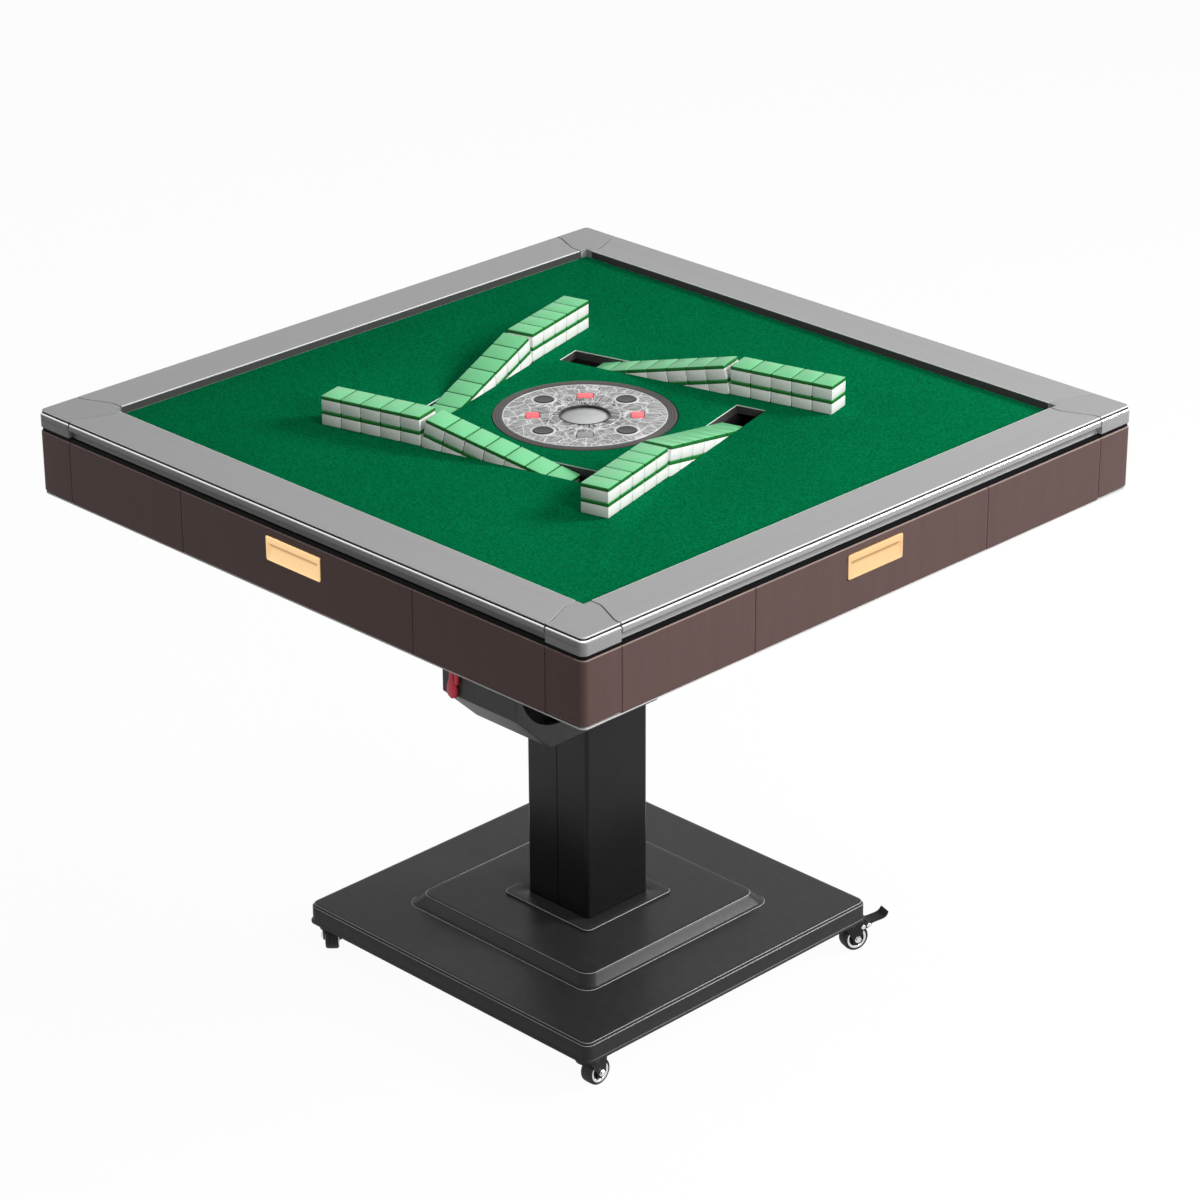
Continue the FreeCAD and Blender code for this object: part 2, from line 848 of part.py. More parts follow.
def head_shell():
    """Moulded shell of the fold head, open for the column, the round vent, the lever and the inlet."""
    inner_half = head_half - head_wall
    inner_front = head_wall - head_front
    inner_back = head_back - head_wall
    rim = block((-inner_half, inner_half), (inner_front, inner_back),
                (head_shell_top - head_wall - overrun, head_shell_top + overrun))
    form = head_form(0)
    lower_edges = [e for e in form.Edges if e.BoundBox.ZMin < head_shell_top - match_tolerance]
    shell = form.makeFillet(head_edge_radius, lower_edges).cut(head_form(head_wall)).cut(rim)
    opening = column_half + column_clearance
    shell = shell.cut(block((-opening, opening), (-opening, opening),
                            (head_bottom - overrun, head_bottom + column_reach)))
    shell = shell.cut(Part.makeCylinder(vent_radius, head_wall + overrun + overrun,
                                        vec(inner_half - overrun, vent_y, head_bottom + vent_rise), x_axis))
    shell = shell.cut(cross_pin(lever_shaft_radius + shaft_clearance, -head_front - overrun,
                                inner_front + overrun, lever_x, head_bottom + lever_rise))
    hole_y = inlet_body_width / 2 + inlet_clearance
    hole_z = inlet_body_height / 2 + inlet_clearance
    inlet_mid = head_bottom + inlet_rise
    return shell.cut(block((-head_half - overrun, -inner_half + overrun),
                           (inlet_y - hole_y, inlet_y + hole_y), (inlet_mid - hole_z, inlet_mid + hole_z)))


def long_pin(radius, x_low, x_high, y, z):
    """Cylinder that lies along X."""
    return Part.makeCylinder(radius, x_high - x_low, vec(x_low, y, z), x_axis)


def head_plate():
    """Steel plate on the column tube with two hinge ears, and the hinge pin through them."""
    plate = block((-head_half, head_half), (-head_front, head_back), (head_shell_top, head_top))
    ear_in = knuckle_length / 2 + ear_gap
    ear_out = ear_in + ear_thickness
    for low, high in ((-ear_out, -ear_in), (ear_in, ear_out)):
        ear = block((low, high), (hinge_y - knuckle_radius, hinge_y + knuckle_radius),
                    (head_top - head_plate_thickness / 2, hinge_z))
        ear = ear.fuse(long_pin(knuckle_radius, low, high, hinge_y, hinge_z))
        plate = plate.fuse(ear)
    plate = plate.removeSplitter()
    plate = plate.cut(long_pin(pin_radius, -ear_out - overrun, ear_out + overrun, hinge_y, hinge_z))
    return [plate, long_pin(pin_radius, -ear_out, ear_out, hinge_y, hinge_z)]


def hinge_leaf():
    """Leaf under the tray with one long knuckle on the hinge pin."""
    y_mid = hinge_y - leaf_shift
    leaf_bottom = tray_bottom - leaf_thickness
    leaf = block((-leaf_width / 2, leaf_width / 2), (y_mid - leaf_length / 2, y_mid + leaf_length / 2),
                 (leaf_bottom, tray_bottom))
    reach = knuckle_length / 2
    leaf = leaf.fuse(block((-reach, reach), (hinge_y - knuckle_radius, hinge_y + knuckle_radius),
                           (hinge_z, leaf_bottom)))
    leaf = leaf.fuse(long_pin(knuckle_radius, -reach, reach, hinge_y, hinge_z)).removeSplitter()
    return leaf.cut(long_pin(pin_radius + shaft_clearance, -reach - overrun, reach + overrun,
                             hinge_y, hinge_z))


def rest_pads():
    """Rubber pads on the head plate that the top rests on away from the hinge."""
    y = pad_inset - head_front
    return [post(pad_radius, head_top, tray_bottom - seat_gap, x, y) for x in (-pad_spread, pad_spread)]


def release_lever():
    """Hanging paddle with a short prong beside it, on a shaft through the head's front wall."""
    z = head_bottom + lever_rise
    y_high = -head_front - lever_gap
    y_low = y_high - lever_thickness
    y_span = (y_low, y_high)
    tip = z - lever_length
    arm_half = lever_arm_width / 2
    lever = cross_pin(lever_boss_radius, y_low, y_high, lever_x, z)
    lever = lever.fuse(block((lever_x - arm_half, lever_x + arm_half), y_span, (tip, z)))
    paddle_half = lever_paddle_radius
    lever = lever.fuse(block((lever_x - paddle_half, lever_x + paddle_half), y_span,
                             (tip, tip + lever_paddle_length)))
    for end in (tip, tip + lever_paddle_length):
        lever = lever.fuse(cross_pin(lever_paddle_radius, y_low, y_high, lever_x, end))
    prong_x = lever_x + prong_offset
    prong_half = prong_width / 2
    lever = lever.fuse(block((prong_x - prong_half, prong_x + prong_half), y_span, (z - prong_length, z)))
    lever = lever.fuse(block((lever_x, prong_x + prong_half), y_span, (z - prong_half, z + prong_half)))
    lever = lever.fuse(cross_pin(prong_half, y_low, y_high, prong_x, z - prong_length))
    inside = head_wall - head_front + lever_cam_gap
    lever = lever.fuse(cross_pin(lever_shaft_radius, y_high, inside, lever_x, z))
    lever = lever.fuse(cross_pin(lever_cam_radius, inside, inside + lever_cam_thickness, lever_x, z))
    return lever.removeSplitter()


def power_inlet():
    """Mains inlet in the fold head's left wall, open to the left."""
    left = -head_half
    z = head_bottom + inlet_rise
    flange_half = inlet_flange_width / 2
    body_half = inlet_body_width / 2
    socket_half = socket_width / 2
    flange = block((left - inlet_flange_thickness, left), (inlet_y - flange_half, inlet_y + flange_half),
                   (z - inlet_flange_height / 2, z + inlet_flange_height / 2))
    body = block((left, left + inlet_body_depth), (inlet_y - body_half, inlet_y + body_half),
                 (z - inlet_body_height / 2, z + inlet_body_height / 2))
    socket = block((left - inlet_flange_thickness - overrun, left + socket_depth - inlet_flange_thickness),
                   (inlet_y - socket_half, inlet_y + socket_half),
                   (z - socket_height / 2, z + socket_height / 2))
    return flange.fuse(body).removeSplitter().cut(socket)


# Column and base

def column_cover(side):
    """One of the two C-shaped covers that close round the column tube."""
    inner_half = column_half - column_wall
    z_high = head_bottom + column_reach
    shell = rounded_slab(column_half, column_half, column_radius, step_top, z_high)
    shell = shell.cut(rounded_slab(inner_half, inner_half, column_radius - column_wall,
                                   step_top - overrun, z_high + overrun))
    start = column_seam / 2
    span = (start, column_half) if side > 0 else (-column_half, -start)
    return shell.common(block(span, (-column_half, column_half), (step_top, z_high)))


def column_tube():
    """Square steel tube from the base plate to the head plate."""
    inner = tube_half - tube_wall
    return square_ring(tube_half, inner, base_plate_top, head_shell_top)


def column_flange():
    """Thin plate that covers the joint between column and base."""
    flange_half = flange_size / 2
    plate = rounded_slab(flange_half, flange_half, flange_radius, step_top, step_top + flange_thickness)
    return plate.cut(rounded_slab(column_half + face_gap, column_half + face_gap, column_radius,
                                  step_top - overrun, step_top + flange_thickness + overrun))


def base_form(margin):
    """Outer form of the base cover drawn in by a margin: low box with a sloped step on it."""
    box_half = base_half - base_lip - margin
    box_top = base_top - margin
    box = rounded_slab(box_half, box_half, base_radius - margin, base_bottom, box_top)
    wires = []
    for size, z in ((step_bottom_size, box_top), (step_top_size, step_top - margin)):
        wires.append(rounded_outline(size / 2 - margin, size / 2 - margin, step_radius - margin, z))
    return box, Part.makeLoft(wires, True, True)


def base_cover():
    """Pressed cover over the base plate, with a lip round its foot and a hole for the column tube."""
    box, step = base_form(0)
    top_edges = [e for e in box.Edges if e.BoundBox.ZMin > base_top - match_tolerance]
    cover = box.makeFillet(base_edge_radius, top_edges)
    cover = cover.fuse(rounded_slab(base_half, base_half, base_radius, base_bottom,
                                    base_bottom + base_lip_height))
    cover = cover.fuse(step)
    for hollow in base_form(base_wall):
        cover = cover.cut(hollow)
    hole = tube_half + tube_clearance
    return cover.cut(block((-hole, hole), (-hole, hole), (base_bottom, step_top + overrun)))


def base_plate():
    """Steel plate inside the cover, with a hole for each caster stem."""
    plate_half = base_half - base_lip - base_wall - seat_gap
    plate = rounded_slab(plate_half, plate_half, base_radius - base_wall, base_bottom, base_plate_top)
    at = base_half - caster_inset
    for sx, sy, _, _ in casters.values():
        plate = plate.cut(post(stem_radius + shaft_clearance, base_bottom - overrun, base_plate_top + overrun,
                               sx * at, sy * at))
    return plate


# Casters, modelled with the stem on the origin and the wheel trailing along X

def caster_place(shape, corner):
    """Turn a caster piece to its trail direction and carry it to its corner."""
    sx, sy, trail_angle, _ = casters[corner]
    at = base_half - caster_inset
    shape.rotate(origin, up, trail_angle)
    shape.translate(vec(sx * at, sy * at, 0))
    return shape


def caster_fork(braked):
    """Fork with its stem and nut, the axle and, on a braked caster, the pedal's pin."""
    cheek_in = wheel_width / 2 + cheek_gap
    cheek_out = cheek_in + cheek_thickness
    crown = block((-crown_back, crown_front), (-cheek_out, cheek_out), (crown_bottom, crown_top))
    crown = crown.fuse(post(crown_radius, crown_bottom, crown_top))
    crown = crown.fuse(post(race_radius, crown_top, race_top))
    nut_floor = base_plate_top + seat_gap
    crown = crown.fuse(post(stem_radius, race_top, nut_floor))
    crown = crown.fuse(post(stem_nut_radius, nut_floor, nut_floor + stem_nut_height))
    flank = [(-crown_back, crown_top), (crown_front, crown_top),
             (caster_trail + axle_boss_radius, wheel_radius), (caster_trail - axle_boss_radius, wheel_radius)]
    pivot_z = crown_bottom - pedal_drop
    for y in (-cheek_out, cheek_in):
        cheek = extruded(polygon_edges([vec(x, y, z) for x, z in flank]), vec(0, cheek_thickness, 0))
        cheek = cheek.fuse(cross_pin(axle_boss_radius, y, y + cheek_thickness, caster_trail, wheel_radius))
        if braked:
            ear = block((caster_trail, pedal_pivot), (y, y + cheek_thickness),
                        (pivot_z - pedal_hub_radius, pivot_z + pedal_hub_radius))
            ear = ear.fuse(cross_pin(pedal_hub_radius, y, y + cheek_thickness, pedal_pivot, pivot_z))
            cheek = cheek.fuse(ear)
        crown = crown.fuse(cheek)
    pins = [cross_pin(axle_radius, -cheek_out, cheek_out, caster_trail, wheel_radius)]
    if braked:
        pins.append(cross_pin(pedal_pin_radius, -cheek_out, cheek_out, pedal_pivot, pivot_z))
    fork = crown.removeSplitter()
    for pin in pins:
        fork = fork.cut(pin)
    return [fork] + pins


def caster_wheel():
    """Tyre on a hub that runs on the axle."""
    half_width = wheel_width / 2
    hub_radius = wheel_radius - tyre_thickness
    hub_half = half_width + hub_proud
    tyre = cross_pin(wheel_radius, -half_width, half_width, caster_trail, wheel_radius)
    edges = [e for e in tyre.Edges if hasattr(e.Curve, "Radius")]
    tyre = tyre.makeFillet(tyre_thickness / 2, edges)
    hub = cross_pin(hub_radius, -hub_half, hub_half, caster_trail, wheel_radius)
    bore = cross_pin(axle_radius + shaft_clearance, -hub_half - overrun, hub_half + overrun,
                     caster_trail, wheel_radius)
    return [tyre.cut(hub), hub.cut(bore)]


def brake_pedal():
    """Foot pedal on its pin behind the wheel."""
    reach = wheel_width / 2 + cheek_gap - pedal_side_gap
    z = crown_bottom - pedal_drop
    hub = cross_pin(pedal_hub_radius, -reach, reach, pedal_pivot, z)
    plate = block((pedal_pivot, pedal_pivot + pedal_length), (-reach, reach),
                  (z - pedal_thickness / 2, z + pedal_thickness / 2))
    plate.rotate(vec(pedal_pivot, 0, z), y_axis, -pedal_tilt)
    pedal = hub.fuse(plate).removeSplitter()
    return pedal.cut(cross_pin(pedal_pin_radius + shaft_clearance, -reach - overrun, reach + overrun,
                               pedal_pivot, z))


# Write every piece

save("base_plate", base_plate())
save("base_cover", base_cover())
save("column_flange", column_flange())
save("column_tube", column_tube())
save("column_cover_left", column_cover(-1))
save("column_cover_right", column_cover(1))
save("head_shell", head_shell())
save("head_plate", *head_plate())
save("rest_pads", *rest_pads())
save("power_inlet", power_inlet())
save("release_lever", release_lever())

for corner in casters:
    braked = casters[corner][3]
    save("caster_fork_" + corner, *[caster_place(s, corner) for s in caster_fork(braked)])
    save("caster_wheel_" + corner, *[caster_place(s, corner) for s in caster_wheel()])
    if braked:
        save("brake_pedal_" + corner, caster_place(brake_pedal(), corner))

save("frame_rails", *all_sides(frame_rail()))
save("frame_corners", *all_sides(frame_corner()))
save("apron_posts", *all_sides(apron_post()))
panels = []
runners = []
for panel in apron_panels():
    panels += all_sides(panel)
for runner in drawer_runners():
    runners += all_sides(runner)
save("apron_panels", *panels)
save("chassis_frame", chassis(), *runners)
save("table_board", playing_sheet(frame_bottom, board_top))
save("felt", playing_sheet(board_top, felt_top))
save("under_tray", under_tray())
save("hinge_leaf", hinge_leaf())
save("tile_ramps", *all_sides(ramp()))

wall_bodies, wall_backs = tile_wall()
tile_bodies = []
tile_backs = []
for body, back in zip(wall_bodies, wall_backs):
    tile_bodies += all_sides(body)
    tile_backs += all_sides(back)
save("tile_bodies", *tile_bodies)
save("tile_backs", *tile_backs)

for turns, side in enumerate(sides):
    save("drawer_" + side, *[quarter_turn(s, turns) for s in drawer()])
    save("drawer_pull_" + side, quarter_turn(pull(), turns))
    save("tile_pusher_" + side, quarter_turn(pusher(), turns))

save("console_ring", console_ring())
save("console_face", console_face())
save("dice_dome", dice_dome())
save("dice_plate", *dice_plate())
save("signal_windows", *[around(window(0, face_bottom, face_top + window_rise), window_circle, 90 * turns + 45)
                         for turns in range(len(sides))])
for turns, place in enumerate(("right", "back", "left", "front")):
    save("console_button_" + place, around(button(), button_circle, 90 * turns))
save("lift_carriage", lift_carriage())
save("lead_screw", lead_screw())
save("turntable", sleeve(turntable_radius, turntable_bore, turntable_bottom, turntable_top))
save("drive_roller", drive_roller())
save("mix_motor", *mix_motor())
save("control_box", control_box())
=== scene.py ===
import json
import logging
import math
from dataclasses import dataclass, replace
from enum import Enum

import bmesh
import bpy
import numpy as np
from mathutils import Matrix


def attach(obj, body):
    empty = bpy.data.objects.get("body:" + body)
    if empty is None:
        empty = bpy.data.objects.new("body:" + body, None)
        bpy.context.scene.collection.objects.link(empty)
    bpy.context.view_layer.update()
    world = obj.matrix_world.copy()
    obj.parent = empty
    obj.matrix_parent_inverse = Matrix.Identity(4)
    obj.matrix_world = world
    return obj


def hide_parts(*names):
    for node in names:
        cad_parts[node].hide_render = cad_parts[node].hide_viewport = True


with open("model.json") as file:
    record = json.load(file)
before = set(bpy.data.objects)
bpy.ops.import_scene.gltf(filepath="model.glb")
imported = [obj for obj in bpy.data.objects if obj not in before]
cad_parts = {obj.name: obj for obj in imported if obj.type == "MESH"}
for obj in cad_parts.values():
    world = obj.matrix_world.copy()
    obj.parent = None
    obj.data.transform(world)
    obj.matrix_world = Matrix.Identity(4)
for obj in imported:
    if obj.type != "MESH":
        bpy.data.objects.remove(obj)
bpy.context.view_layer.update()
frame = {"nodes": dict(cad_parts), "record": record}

LOG = logging.getLogger("game_table")
MM = 0.001
SIDES = ("front", "right", "back", "left")
WHITE = (1.0, 1.0, 1.0, 1.0)
Array = np.ndarray
Colour = tuple[float, float, float]
Socket = bpy.types.NodeSocket
Value = Socket | float | tuple


# Numbers and arrays

def linear(colour: Colour, gain: float = 1.0) -> tuple[float, float, float, float]:
    """Scene-linear colour of a screen colour given from 0 to 255, times a gain."""
    part = np.clip(np.array(colour, float) / 255.0, 0, 1)
    lit = np.where(part <= 0.04045, part / 12.92, ((part + 0.055) / 1.055) ** 2.4) * gain
    return (*lit.tolist(), 1.0)


def arc(centre: tuple, radius: float, start: float, end: float, count: int) -> Array:
    """Points of a circle: centre + radius (cos a, sin a), with a going from start to end in degrees."""
    angle = np.radians(np.linspace(start, end, count))
    return np.array(centre) + radius * np.stack([np.cos(angle), np.sin(angle)], -1)


def bend(start: tuple, control: tuple, end: tuple, count: int) -> Array:
    """Points of a parabola: (1-t)^2 start + 2t(1-t) control + t^2 end, with t from 0 to 1."""
    t = np.linspace(0, 1, count)[:, None]
    return (1 - t) ** 2 * np.array(start) + 2 * t * (1 - t) * np.array(control) + t ** 2 * np.array(end)


def turned(points: Array, degrees: float) -> Array:
    """Points turned about the upright axis by an angle."""
    c, s = math.cos(math.radians(degrees)), math.sin(math.radians(degrees))
    return points @ np.array([[c, s, 0], [-s, c, 0], [0, 0, 1]])


def tipped(points: Array, degrees: float, pivot: tuple) -> Array:
    """Points turned about a line along Y through a pivot; plus tips +X down."""
    c, s = math.cos(math.radians(degrees)), math.sin(math.radians(degrees))
    return (points - np.array(pivot)) @ np.array([[c, 0, -s], [0, 1, 0], [s, 0, c]]) + np.array(pivot)


def upright(points: Array) -> Array:
    """Flat shape stood up to face the front: (a, b, c) becomes (a, -c, b)."""
    return points @ np.array([[1.0, 0, 0], [0, 0, 1], [0, -1, 0]])


def mirrored(half: tuple, *middle: tuple) -> Array:
    """Profile, any points in its middle, and its mirror image: (r, y) becomes (r, -y)."""
    side = np.array(half)
    return np.concatenate([side, np.reshape(middle, (-1, 2)), side[::-1] * (1, -1)])


def rounded_rings(half_x: Array, half_y: Array, radius: Array, level: Array, steps: int = 5,
                  centre: tuple = (0.0, 0.0)) -> Array:
    """Rounded rectangles: a point is sign (half - radius) + radius (cos a, sin a), with a running once round.

    Args:
        half_x: half width of each ring.
        half_y: half depth of each ring.
        radius: corner radius of each ring.
        level: height of each ring.
        steps: divisions of a corner.
        centre: middle of the rings, as two numbers or two arrays.

    Returns:
        Grid of rings by points by 3.
    """
    values = np.broadcast_arrays(*[np.atleast_1d(np.asarray(v, float))
                                   for v in (half_x, half_y, radius, level, centre[0], centre[1])])
    hx, hy, r, z, cx, cy = [v[:, None] for v in values]
    quarter = np.repeat(np.arange(4), steps + 1)
    angle = (quarter + np.tile(np.linspace(0, 1, steps + 1), 4)) * math.pi / 2
    x = cx + np.array([1, -1, -1, 1])[quarter] * (hx - r) + r * np.cos(angle)
    y = cy + np.array([1, 1, -1, -1])[quarter] * (hy - r) + r * np.sin(angle)
    return np.stack([x, y, np.broadcast_to(z, x.shape)], -1)


def slab(half_x: float, half_y: float, corner: float, low: float, high: float, edge: float,
         foot: float | None = None, steps: int = 4, rounds: int = 4, centre: tuple = (0.0, 0.0),
         flat: float = 0.0) -> Array:
    """Rings of a flat block whose edges are rounded: inset = e (1 - cos a), drop = e (1 - sin a).

    Args:
        half_x: half width.
        half_y: half depth.
        corner: radius of the upright edges.
        low: level of the underside.
        high: level of the top.
        edge: radius of the top edge.
        foot: radius of the bottom edge, if it differs.
        steps: divisions of a corner.
        rounds: divisions of an edge.
        centre: middle of the block.
        flat: width of a level row inside each edge, which keeps the flat faces evenly shaded.

    Returns:
        Grid of rings by points by 3, from the underside to the top.
    """
    foot = edge if foot is None else foot
    a = np.linspace(0, math.pi / 2, rounds)
    inset = np.concatenate([foot * (1 - np.sin(a)), edge * (1 - np.cos(a))])
    level = np.concatenate([low + foot * (1 - np.cos(a)), high - edge * (1 - np.sin(a))])
    if flat:
        inset = np.concatenate([[foot + flat], inset, [edge + flat]])
        level = np.concatenate([[low], level, [high]])
    return rounded_rings(half_x - inset, half_y - inset, np.maximum(corner - inset, 0.05), level, steps, centre)


def lathe(profile: Array, count: int = 96) -> Array:
    """Rings of a turned shape: (r, z) becomes (r cos a, r sin a, z)."""
    angle = np.arange(count) * 2 * math.pi / count
    section = np.asarray(profile, float)
    r, z = section[:, :1], section[:, 1:]
    return np.stack([r * np.cos(angle), r * np.sin(angle), z + 0 * angle], -1)


def inward(profile: Array) -> Array:
    """Unit normals that point into a closed outline: the tangent turned by a quarter."""
    follow = np.roll(profile, -1, 0)
    run = follow - np.roll(profile, 1, 0)
    run = run / np.maximum(np.linalg.norm(run, axis=1, keepdims=True), 1e-9)
    area = np.sum(profile[:, 0] * follow[:, 1] - follow[:, 0] * profile[:, 1])
    return np.sign(area) * np.stack([-run[:, 1], run[:, 0]], -1)


# Pieces

class Join(Enum):
    """How a grid closes: rows joined, columns joined, and the open ends that get a flat face."""

    BLOCK = (False, True, "rows")
    OPEN = (False, True, "")
    RING = (True, True, "")
    STRIP = (True, False, "columns")


class Mesher:
    """Gathers grids of points, in millimetres, into one named piece."""

    def __init__(self) -> None:
        """Start with nothing."""
        self.points: list[Array] = []
        self.faces: list[list[int]] = []
        self.total = 0

    def add(self, grid: Array, join: Join = Join.BLOCK) -> "Mesher":
        """Add the quads between neighbouring rows and columns of a grid.

        Args:
            grid: rows by columns by 3.
            join: how the grid closes.

        Returns:
            The mesher itself.
        """
        rows, columns = grid.shape[:2]
        rows_joined, columns_joined, ends = join.value
        index = np.arange(rows * columns).reshape(rows, columns) + self.total
        i, j = np.meshgrid(np.arange(rows if rows_joined else rows - 1),
                           np.arange(columns if columns_joined else columns - 1), indexing="ij")
        up, on = (i + 1) % rows, (j + 1) % columns
        quads = np.stack([index[i, j], index[i, on], index[up, on], index[up, j]], -1)
        self.faces += quads.reshape(-1, 4).tolist()
        if ends == "rows":
            self.faces += [index[0, ::-1].tolist(), index[-1].tolist()]
        if ends == "columns":
            self.faces += [index[::-1, 0].tolist(), index[:, -1].tolist()]
        self.points.append(grid.reshape(-1, 3))
        self.total += rows * columns
        return self

    def quarters(self, grid: Array, join: Join = Join.BLOCK, turns: tuple = (0, 1, 2, 3)) -> "Mesher":
        """Add a front grid on several sides."""
        for turn in turns:
            self.add(turned(grid, 90 * turn), join)
        return self

    def build(self, name: str, *labels: "Finish | str", **options: float) -> bpy.types.Object:
        """Make the piece, with the labels and options of placed()."""
        mesh = bpy.data.meshes.new(name)
        mesh.from_pydata((np.concatenate(self.points) * MM).tolist(), [], self.faces)
        return placed(name, mesh, *labels, **options)


def piece(grid: Array, join: Join, *labels: "Finish | str", **options: float) -> bpy.types.Object:
    """One grid as a piece of its own, with the labels and options of Mesher.build."""
    return Mesher().add(grid, join).build(*labels, **options)


def linked(name: str, data: bpy.types.ID) -> bpy.types.Object:
    """New object in the scene with some data."""
    made = bpy.data.objects.new(name, data)
    bpy.context.scene.collection.objects.link(made)
    return made


def placed(name: str, mesh: bpy.types.Mesh, finish: "Finish", body: str, slot: str, *nodes: str,
           sharp: float = 38.0) -> bpy.types.Object:
    """Clean a mesh, link it as an object, hang it on the body it rides on and hide the nodes it replaces.

    Args:
        name: name of the piece.
        mesh: its mesh, in metres.
        finish: its finish.
        body: body that carries it.
        slot: material slot of the record; not used.
        nodes: nodes of the frame that it replaces.
        sharp: angle in degrees from which an edge stays crisp.

    Returns:
        The new object.
    """
    shape = bmesh.new()
    shape.from_mesh(mesh)
    bmesh.ops.remove_doubles(shape, verts=shape.verts, dist=1e-6)
    bmesh.ops.dissolve_degenerate(shape, edges=shape.edges, dist=1e-7)
    bmesh.ops.recalc_face_normals(shape, faces=shape.faces)
    shape.to_mesh(mesh)
    shape.free()
    mesh.shade_smooth()
    mesh.set_sharp_from_angle(angle=math.radians(sharp))
    mesh.materials.append(finish.material())
    made = linked(name, mesh)
    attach(made, body)
    if nodes:
        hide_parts(*nodes)
    LOG.info("%s: %d faces on %s", name, len(mesh.polygons), body)
    return made


def cut_sheet(loops: list[Array], low: float, high: float, edge: float) -> bpy.types.Mesh:
    """Flat sheet inside the first outline and outside the others, with rounded edges.

    Args:
        loops: closed outlines in the XY plane, in millimetres.
        low: level of the underside.
        high: level of the top.
        edge: radius of every edge.

    Returns:
        The mesh, in metres.
    """
    curve = bpy.data.curves.new("sheet_outline", "CURVE")
    curve.dimensions = "2D"
    curve.fill_mode = "BOTH"
    curve.extrude = (high - low) / 2 * MM - edge * MM
    curve.bevel_depth = edge * MM
    curve.bevel_resolution = 2
    curve.offset = -edge * MM
    for loop in loops:
        spline = curve.splines.new("POLY")
        spline.points.add(len(loop) - 1)
        flat = np.concatenate([loop * MM, np.zeros((len(loop), 1)), np.ones((len(loop), 1))], 1)
        spline.points.foreach_set("co", flat.ravel())
        spline.use_cyclic_u = True
    holder = linked("sheet_outline", curve)
    bpy.context.view_layer.update()
    mesh = bpy.data.meshes.new_from_object(holder.evaluated_get(bpy.context.evaluated_depsgraph_get()))
    bpy.data.objects.remove(holder)
    bpy.data.curves.remove(curve)
    mesh.transform(Matrix.Translation((0, 0, (low + high) / 2 * MM)))
    return mesh


# Finishes

class Nodes:
    """Node tree with a few short ways to add to it."""

    def __init__(self, tree: bpy.types.NodeTree) -> None:
        """Keep the tree."""
        self.tree = tree

    def node(self, kind: str, inputs: dict | None = None, **settings: str) -> bpy.types.Node:
        """Add a node.

        Args:
            kind: type of the node without its prefix.
            inputs: values or sockets for its inputs, by name or number.
            settings: properties of the node.

        Returns:
            The node.
        """
        made = self.tree.nodes.new("ShaderNode" + kind)
        for key, value in settings.items():
            setattr(made, key, value)
        for key, value in (inputs or {}).items():
            self.feed(made, key, value)
        return made

    def feed(self, node: bpy.types.Node, key: str | int, value: Value) -> None:
        """Link a socket, or set a constant, on a node's input."""
        if isinstance(value, Socket):
            self.tree.links.new(value, node.inputs[key])
        else:
            node.inputs[key].default_value = value

    def math(self, operation: str, first: Value, second: Value = 0.0) -> Socket:
        """One sum of two values."""
        return self.node("Math", {0: first, 1: second}, operation=operation).outputs[0]

    def show(self, output: str, share: Socket, first: bpy.types.Node, second: bpy.types.Node) -> None:
        """Send a mix of two shaders to an output."""
        mix = self.node("MixShader", {0: share, 1: first.outputs[0], 2: second.outputs[0]})
        self.feed(self.tree.nodes[output], 0, mix.outputs[0])


